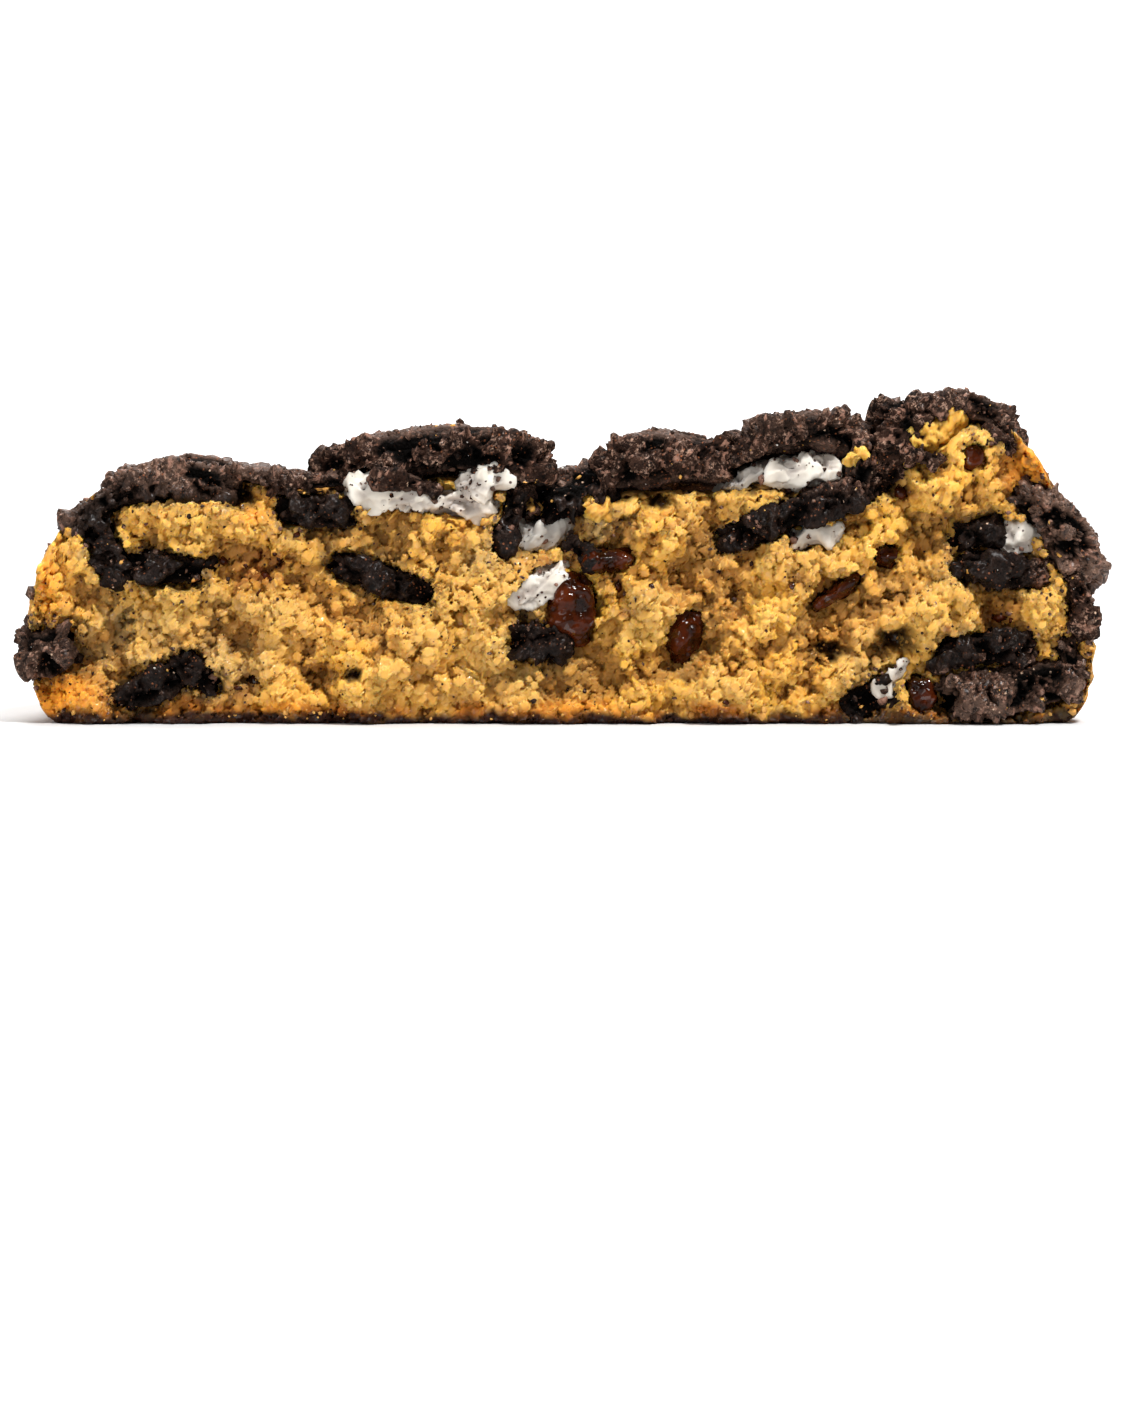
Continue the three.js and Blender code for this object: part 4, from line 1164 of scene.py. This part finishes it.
def piece_form(piece, spacing):
    """The slab: |u/half length|^3.4 + |v/half depth|^3.4 = 1 with three waves round it, times a squarish
    profile of half thickness, with uneven faces and drooping ends. Returns local points and faces."""
    square, ragged, bumpy = KINDS[piece["kind"]]
    along, deep, thick = piece["half"]
    seed = piece["seed"]
    fine = np.linspace(-TAU / 4, TAU / 4, 3001)
    out, lift = np.cos(fine) ** (2 / square), squared(np.sin(fine), 2 / square)
    climb = evenly(fine, np.hypot(np.diff(out) * (along + deep) / 2, np.diff(lift) * thick), spacing)[1:-1]
    fine = np.linspace(0, TAU, 6001)
    u, v = along * squared(np.cos(fine), 2 / OUTLINE_SQUARE), deep * squared(np.sin(fine), 2 / OUTLINE_SQUARE)
    # The points lie closer together in the front 3.5 mm, which show most
    shown = np.where(v[1:] < 3.5 - deep, 1, 0.45) if "proud" in piece else 1
    angle = evenly(fine, np.hypot(np.diff(u), np.diff(v)) * shown, spacing)[:-1]

    waves = np.sin(2 * angle + seed) + np.sin(3 * angle + 2.3 * seed) + 0.7 * np.sin(5 * angle + 4.1 * seed)
    edge = np.cos(climb)[:, None] ** (2 / square) * (1 + ragged * waves / 1.6)
    lift = squared(np.sin(climb), 2 / square)[:, None] + 0 * edge
    u = along * edge * squared(np.cos(angle), 2 / OUTLINE_SQUARE)
    v = deep * edge * squared(np.sin(angle), 2 / OUTLINE_SQUARE)
    uneven = 1 + bumpy * ripple(u, v, 3 * lift, 1.3 * along, seed)
    rings = np.stack([u, v, thick * lift * uneven - piece.get("bend", 0) * (u / along) ** 2], axis=-1)
    poles = [(0, 0, end * thick * (1 + bumpy * ripple(0, 0, 3 * end, 1.3 * along, seed))) for end in (-1, 1)]
    points = np.vstack([poles[:1], rings.reshape(-1, 3), poles[1:]])
    return points, outward(points, ring_faces(len(climb), len(angle)))


print("points of the first slab:", len(piece_form(PIECES[0], FINE_SPACING)[0]))

# %% [markdown]
# On the real thing the broken faces are porous and the outer faces are pebbly. Layers of domes along the
# normals, ragged terraces and, in the wafers, deep voids give both. Cream and chocolate are softer, so
# their domes are wider and lower.

# %% Broken surfaces
# For each kind, layers of domes: their size, their height, and how far whole domes are pushed in or out
SURFACES = {
    "wafer": ((3.6, 0.7, 0.4), (1.5, 0.4, 0.5), (0.7, 0.4, 0.4), (0.36, 0.24, 0.2)),
    "cream": ((4.5, 0.9, 0), (2.0, 0.3, 0), (0.9, 0.1, 0)),
    "chocolate": ((3.2, 0.6, 0.25), (1.5, 0.22, 0)),
    "clump": ((1.4, 0.5, 0.5), (0.6, 0.35, 0.3)),
}
# Broken faces also have ragged terraces: their size and height
BROKEN = {"wafer": (2.4, 0.75), "clump": (2.6, 0.5), "chocolate": (2.6, 0.28), "cream": (2.4, 0.4)}
VOID_DEPTH = 1.3
# Cream painted grey all over, as painted shade
SHADED_CREAM = {"gap_cream": 1.0, "right_crown_strip": 1.0, "right_crown_smear": 0.3}
# Wafers painted paler, as painted sheen where they catch the light
PAINTED_SHEEN = {"rim_upper_wafer": 1.0, "heel_wafer": 0.8, "shoulder_wafer": 0.5, "shoulder_tail": 0.4,
       "left_end_wafer": 0.4, "shoulder_chip": 0.6, "peak_top_wafer": 0.2, "right_crown_wafer": 0.2,
       "heel_side_wafer": 0.6}
FINISHES = {"wafer": wafer, "cream": cream, "chocolate": chocolate, "clump": crumb}


def make_fragment(piece):
    """The slab's points, pushed along their normals by domes of falling size, then turned and put in
    place. Each dome as a whole is also pushed in or out. The outer faces of a wafer take less of both.
    Cream has the ridges 1 - |ripple| in place of domes, and in the torn face it is smeared flat in
    front."""
    kind = piece["kind"]
    points, faces = piece_form(piece, FINE_SPACING if "proud" in piece else COARSE_SPACING)
    normals = point_normals(points, faces)
    outer = smooth_step(0.75, 0.97, np.abs(normals[:, 2])) * (kind == "wafer")
    push = np.zeros(len(points))
    for number, (cell, high, step) in enumerate(SURFACES[kind]):
        dome, tag = grains(points, cell, 3.7 * piece["seed"] + 11.3 * number)
        if kind == "cream":
            dome = 1 - np.abs(ripple(*points.T, cell, piece["seed"] + number))
        push += high * (dome**2 - 0.55) * (1 - 0.6 * outer) + step * (tag - 0.6) * (1 - 0.8 * outer)
    if kind in BROKEN:
        size, high = BROKEN[kind]
        steps = terraces(1.8 * rough(*points.T, size, piece["seed"] + 0.3, 3), 0.2)
        push += high * (steps + 0.4) * (1 - 0.75 * outer)
    voids = np.zeros(len(points))
    if kind == "wafer":
        voids = smooth_step(0.3, 0.5, rough(*points.T, 2.6, piece["seed"] + 0.8, 3)) * (1 - 0.8 * outer)
    push = push - push.mean() - 0.1 - VOID_DEPTH * voids
    push = np.clip(push, -min(2.2, 0.8 * piece["half"][2]), 1.1)
    points = (points + normals * push[:, None]) @ piece["turn"].T + piece["middle"]
    points[:, 2] = np.maximum(points[:, 2], 0)
    if kind == "cream" and "proud" in piece:
        smeared = piece["middle"][1] - piece["half"][1] + 1.1
        ahead = points[:, 1] < smeared
        points[ahead, 1] = smeared + 0.4 * (points[ahead, 1] - smeared)
    px, pz = points[:, 0], points[:, 2]
    # The wafers inside the torn face are moist and dark, those round its edge are not
    inside = smooth_step(24.5, 22, pz) * smooth_step(48.5, 46, px) * smooth_step(-50, -47, px)
    inside = inside * smooth_step(0, 1, np.maximum(37 - px, pz - 5))
    values = {"hollow": np.clip(0.4 - push / 1.8, 0, 1), "grain": tag, "outer": outer,
              "moist": inside * ("proud" in piece), "dry": np.full(len(points), PAINTED_SHEEN.get(piece["name"], 0.05)),
              "cream_shade": np.full(len(points), SHADED_CREAM.get(piece["name"], 0))}
    stands_for = [piece["name"]] if piece["name"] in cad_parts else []
    slot = "dough" if kind == "clump" else kind
    add_piece(piece["name"] + "_broken", points, faces, FINISHES[kind].material, stands_for, values)
    return piece, points, normals @ piece["turn"].T, len(faces)


print("layers of domes:", {kind: len(domes) for kind, domes in SURFACES.items()})

# %% [markdown]
# Small clumps of dough and of wafer crumbs fill the cracks between the pieces of the top. They are too
# small for solids of their own, and are made in the same way as the pieces.

# %% Clumps, and all the pieces
CLUMPS = [
    torn("clump", "peak_clump", 37.4, 29.0, (3.4, 3.0, 1.7), 38, 0.8),
    torn("clump", "right_crown_clump", 29.6, 26.8, (1.0, 1.2, 0.7), 10, 1.4),
    torn("clump", "gap_clump", 4.4, 21.4, (2.2, 2.2, 1.2), -20, 0.4),
    torn("wafer", "peak_crumbs", 36.3, 26.8, (1.8, 1.4, 0.8), -8, 1.6),
    torn("wafer", "peak_right_crumbs", 44.0, 28.2, (1.4, 1.2, 0.9), -30, 1.4),
    torn("wafer", "gap_crumbs", 2.3, 17.3, (1.6, 1.2, 1.0), -24, 0.9),
    torn("wafer", "notch_crumbs", 32.9, 25.8, (2.0, 2.6, 1.9), 20, -0.8),
    torn("wafer", "tuck_crumbs", -25.2, 23.9, (3.4, 1.6, 0.9), 2, 1.1),
]
KINDS["clump"] = (2.4, 0.14, 0.25)
for number, clump in enumerate(CLUMPS):
    clump.update(middle=np.array(place_of(clump)[0]), turn=turned(clump["roll"], 0, 0), seed=70 + number)
fragments = [make_fragment(piece) for piece in PIECES + CLUMPS]
print("triangles in the pieces:", sum(fragment[3] for fragment in fragments))

# %% [markdown]
# Breaking a cookie by hand leaves loose crumbs on everything. Each kind is one mesh of many small bodies,
# dented, stretched and turned at random. Twenty faces each are enough at this size.

# %% Small bodies
GOLD = (1 + math.sqrt(5)) / 2
SIGNS = (-1, 1)
CRUMB_CORNERS = np.array([np.roll((0, a, b * GOLD), -shift)
                          for shift, a, b in product(range(3), SIGNS, SIGNS)])
CRUMB_CORNERS /= np.linalg.norm(CRUMB_CORNERS[0])
# Distance between neighbouring corners, which are all at distance 1 from the middle
CRUMB_EDGE = 2 / math.hypot(1, GOLD)


def crumb_faces():
    """The twenty triangles of corners that are all one edge apart, turned outwards."""
    apart = np.linalg.norm(CRUMB_CORNERS[:, None] - CRUMB_CORNERS, axis=2)
    joined = np.abs(apart - CRUMB_EDGE) < 0.01
    faces = np.array([(a, b, c) for a in range(12) for b in range(a + 1, 12) for c in range(b + 1, 12)
                      if joined[a, b] and joined[b, c] and joined[a, c]])
    a, b, c = (CRUMB_CORNERS[faces[:, k]] for k in range(3))
    inward = np.einsum("ij,ij->i", np.cross(b - a, c - a), a) < 0
    faces[inward] = faces[inward][:, ::-1]
    return faces


def scatter(name, places, sizes, finish, seed):
    """Puts a dented, stretched and turned body of each size, as a radius, at each place, all in one
    mesh."""
    draw = np.random.default_rng(seed)
    count = len(places)
    dents = draw.uniform(0.55, 1.35, (count, 12, 1))
    stretch = draw.uniform(0.5, 1.3, (count, 1, 3))
    turns, _ = np.linalg.qr(draw.normal(size=(count, 3, 3)))
    turns *= np.sign(np.linalg.det(turns))[:, None, None]
    bodies = (CRUMB_CORNERS * dents * stretch) @ turns * np.asarray(sizes)[:, None, None] + places[:, None]
    points = bodies.reshape(-1, 3)
    points[:, 2] = np.maximum(points[:, 2], 0)
    faces = (crumb_faces() + 12 * np.arange(count)[:, None, None]).reshape(-1, 3)
    values = {key: np.zeros(len(points)) for key in ("moist", "hollow", "outer", "cream_shade")}
    # A random paler tone for each loose crumb
    values["dry"] = np.repeat(draw.random(count) * 0.8, 12)
    values["grain"] = np.repeat(draw.random(count), 12)
    print("%s: %d crumbs" % (name, count))
    add_piece(name, points, faces, finish.material, values=values)


print("faces of each crumb:", len(crumb_faces()))

# %% [markdown]
# Wafer crumbs lie on the torn dough, most of them beside the wafers, and on the cream and the crust. Dough
# crumbs and a few white sugar grains lie on the wafers. So each kind has places of its own, drawn at
# random on the torn sheet, on the pieces or on the crust, and its bodies are pressed in there.

# %% Loose crumbs


def torn_places(draw, count, likely):
    """Random places on the torn sheet, kept with the likelihood that a function of x and z gives."""
    x, low, high = torn_outline(400)
    pick = draw.integers(4, 396, count)
    px = x[pick] + draw.uniform(-0.13, 0.13, count)
    pz = low[pick] + (high - low)[pick] * draw.uniform(0.02, 0.97, count)
    kept = draw.random(count) < likely(px, pz)
    px, pz = px[kept], pz[kept]
    return np.stack([px, BREAK_Y - crumb_out(px, pz), pz], axis=-1)


def on_pieces(draw, each, kind):
    """Random points in front or on top of the broken pieces, this many for each square centimetre or so."""
    chosen = []
    for piece, points, normals, _ in fragments:
        if piece["kind"] == kind:
            shown = np.flatnonzero((normals[:, 1] < -0.15) | (normals[:, 2] > 0.5))
            count = int(each * piece["half"][0] * piece["half"][2] / 10)
            if len(shown) and count:
                chosen.append(points[draw.choice(shown, count)])
    return np.vstack(chosen)


def on_crust(draw, count, lowest):
    """Random points of the crust above this height."""
    open_crust = crust_points[(crust_points[:, 1] > BREAK_Y + 1) & (crust_points[:, 2] > lowest)]
    return open_crust[draw.integers(0, len(open_crust), count)]


def radii(draw, count, small, large):
    """Many small ones and few large ones: the radius grows with the fourth power of an even draw."""
    return small + (large - small) * draw.random(count) ** 4


def near_wafers(x, z):
    """Likelihood of wafer crumbs on the dough: high beside the wafers and where dust lies."""
    beside = 0.03 + 0.9 * np.exp(-np.maximum(nearest_gap(x, z, ("wafer",)), 0) / 1.3)
    return np.maximum(beside, 0.9 * spots("dusted", x, z))


def between_pieces(x, z):
    """Likelihood of dough crumbs on the dough."""
    return np.where(nearest_gap(x, z) > -0.3, 0.8, 0.1)


def on_stains(x, z):
    """Likelihood of chocolate crumbs on the dough."""
    return 0.35 * spots("stained", x, z) * (nearest_gap(x, z) > 0)


draw = np.random.default_rng(77)
# Name, where they lie, how many, which of those places, smallest and largest radius, finish, slot, seed
for name, where, amount, choice, small, large, finish, slot, seed in (
    ("wafer_crumbs_on_dough", torn_places, 6000, near_wafers, 0.06, 0.32, wafer, "wafer", 1),
    ("wafer_crumbs_on_wafers", on_pieces, 60, "wafer", 0.1, 0.55, wafer, "wafer", 2),
    ("wafer_crumbs_on_cream", on_pieces, 150, "cream", 0.07, 0.45, wafer, "wafer", 3),
    ("dough_crumbs_on_wafers", on_pieces, 7, "wafer", 0.1, 0.4, crust, "dough", 4),
    ("dough_crumbs_on_dough", torn_places, 1800, between_pieces, 0.12, 0.4, crust, "dough", 5),
    ("chocolate_crumbs", torn_places, 9000, on_stains, 0.12, 0.7, chocolate, "chocolate", 7),
    ("wafer_crumbs_on_crust", on_crust, 2600, 8, 0.1, 0.8, wafer, "wafer", 8),
    ("dough_crumbs_on_crust", on_crust, 900, 8, 0.15, 0.7, crust, "dough", 9),
    ("sugar_grains", on_pieces, 4, "wafer", 0.06, 0.2, cream, "cream", 6),
):
    places = where(draw, amount, choice)
    scatter(name, places, radii(draw, len(places), small, large), finish, seed)

# %% [markdown]
# A pale studio floor that runs up into a backdrop far behind, in one curved sheet, so that no line shows.
# The lights are large and soft: a key from above on the right, a fill from the left, one straight above,
# and one that makes the backdrop white.

# %% Floor, lights and camera
floor_finish = Finish("studio_white", Base_Color=(0.66, 0.66, 0.66), Roughness=0.9, Specular_IOR_Level=0.1)
along = np.linspace(-1, 1, 3) * 3.0
run = np.array([(-2.5, 0), (1.2, 0), (1.5, 0.04), (1.75, 0.15), (1.93, 0.33), (2.0, 0.6), (2.0, 3.0)])
floor_points = np.array([(x, y, z) for y, z in run for x in along])
corners = [3 * i + j for i in range(len(run) - 1) for j in range(2)]
floor_faces = [(corner, corner + 1, corner + 4, corner + 3) for corner in corners]
floor_mesh = bpy.data.meshes.new("studio_floor")
floor_mesh.from_pydata(floor_points, [], floor_faces)
floor_mesh.shade_smooth()
floor_mesh.materials.append(floor_finish.material)
studio_floor = bpy.data.objects.new("studio_floor", floor_mesh)
bpy.context.collection.objects.link(studio_floor)

world = bpy.data.worlds.new("studio")
world.use_nodes = True
world.node_tree.nodes["Background"].inputs["Color"].default_value = (1, 1, 1, 1)
world.node_tree.nodes["Background"].inputs["Strength"].default_value = 0.16
bpy.context.scene.world = world
bpy.context.scene.view_settings.view_transform = "Standard"


def soft_light(name, place, aim, size, watts):
    """A square light at a place, turned to shine at a point."""
    lamp = bpy.data.lights.new(name, "AREA")
    lamp.size, lamp.energy = size, watts
    light = bpy.data.objects.new(name, lamp)
    light.location = place
    away = np.array(place) - np.array(aim)
    lean = math.acos(away[2] / np.linalg.norm(away))
    light.rotation_euler = (lean, 0, math.atan2(away[1], away[0]) + TAU / 4)
    bpy.context.collection.objects.link(light)


soft_light("key", (0.22, -0.36, 0.58), (0, 0, 0.01), 0.12, 6.4)
soft_light("fill", (-0.5, -0.6, 0.3), (0, 0, 0.01), 0.3, 2.0)
soft_light("top", (0, 0.1, 0.7), (0, 0, 0.01), 0.4, 3)
soft_light("backdrop", (0, 1.0, 1.6), (0, 2.0, 0.4), 1.2, 60)

# The camera looks from 4 degrees above, at 450 mm, at the middle of the torn face
SIGHT_UP = math.radians(4)
SIGHT_FAR = 450
AIM = np.array([0.2, BREAK_Y, 2.3])
lens = bpy.data.cameras.new("camera")
lens.lens = 115.5
lens.clip_start, lens.clip_end = 0.01, 20
camera = bpy.data.objects.new("camera", lens)
camera.location = (AIM + SIGHT_FAR * np.array([0, -math.cos(SIGHT_UP), math.sin(SIGHT_UP)])) * MM
camera.rotation_euler = (TAU / 4 - SIGHT_UP, 0, 0)
bpy.context.collection.objects.link(camera)
bpy.context.scene.camera = camera
print("lights: %d, and a camera %d mm away" % (len(bpy.data.lights), SIGHT_FAR))

# %% [markdown]
# The finished scene fills nearly the same box as the solids: only its crags stand out. The last call
# updates the scene.

# %% The end
bpy.context.view_layer.update()
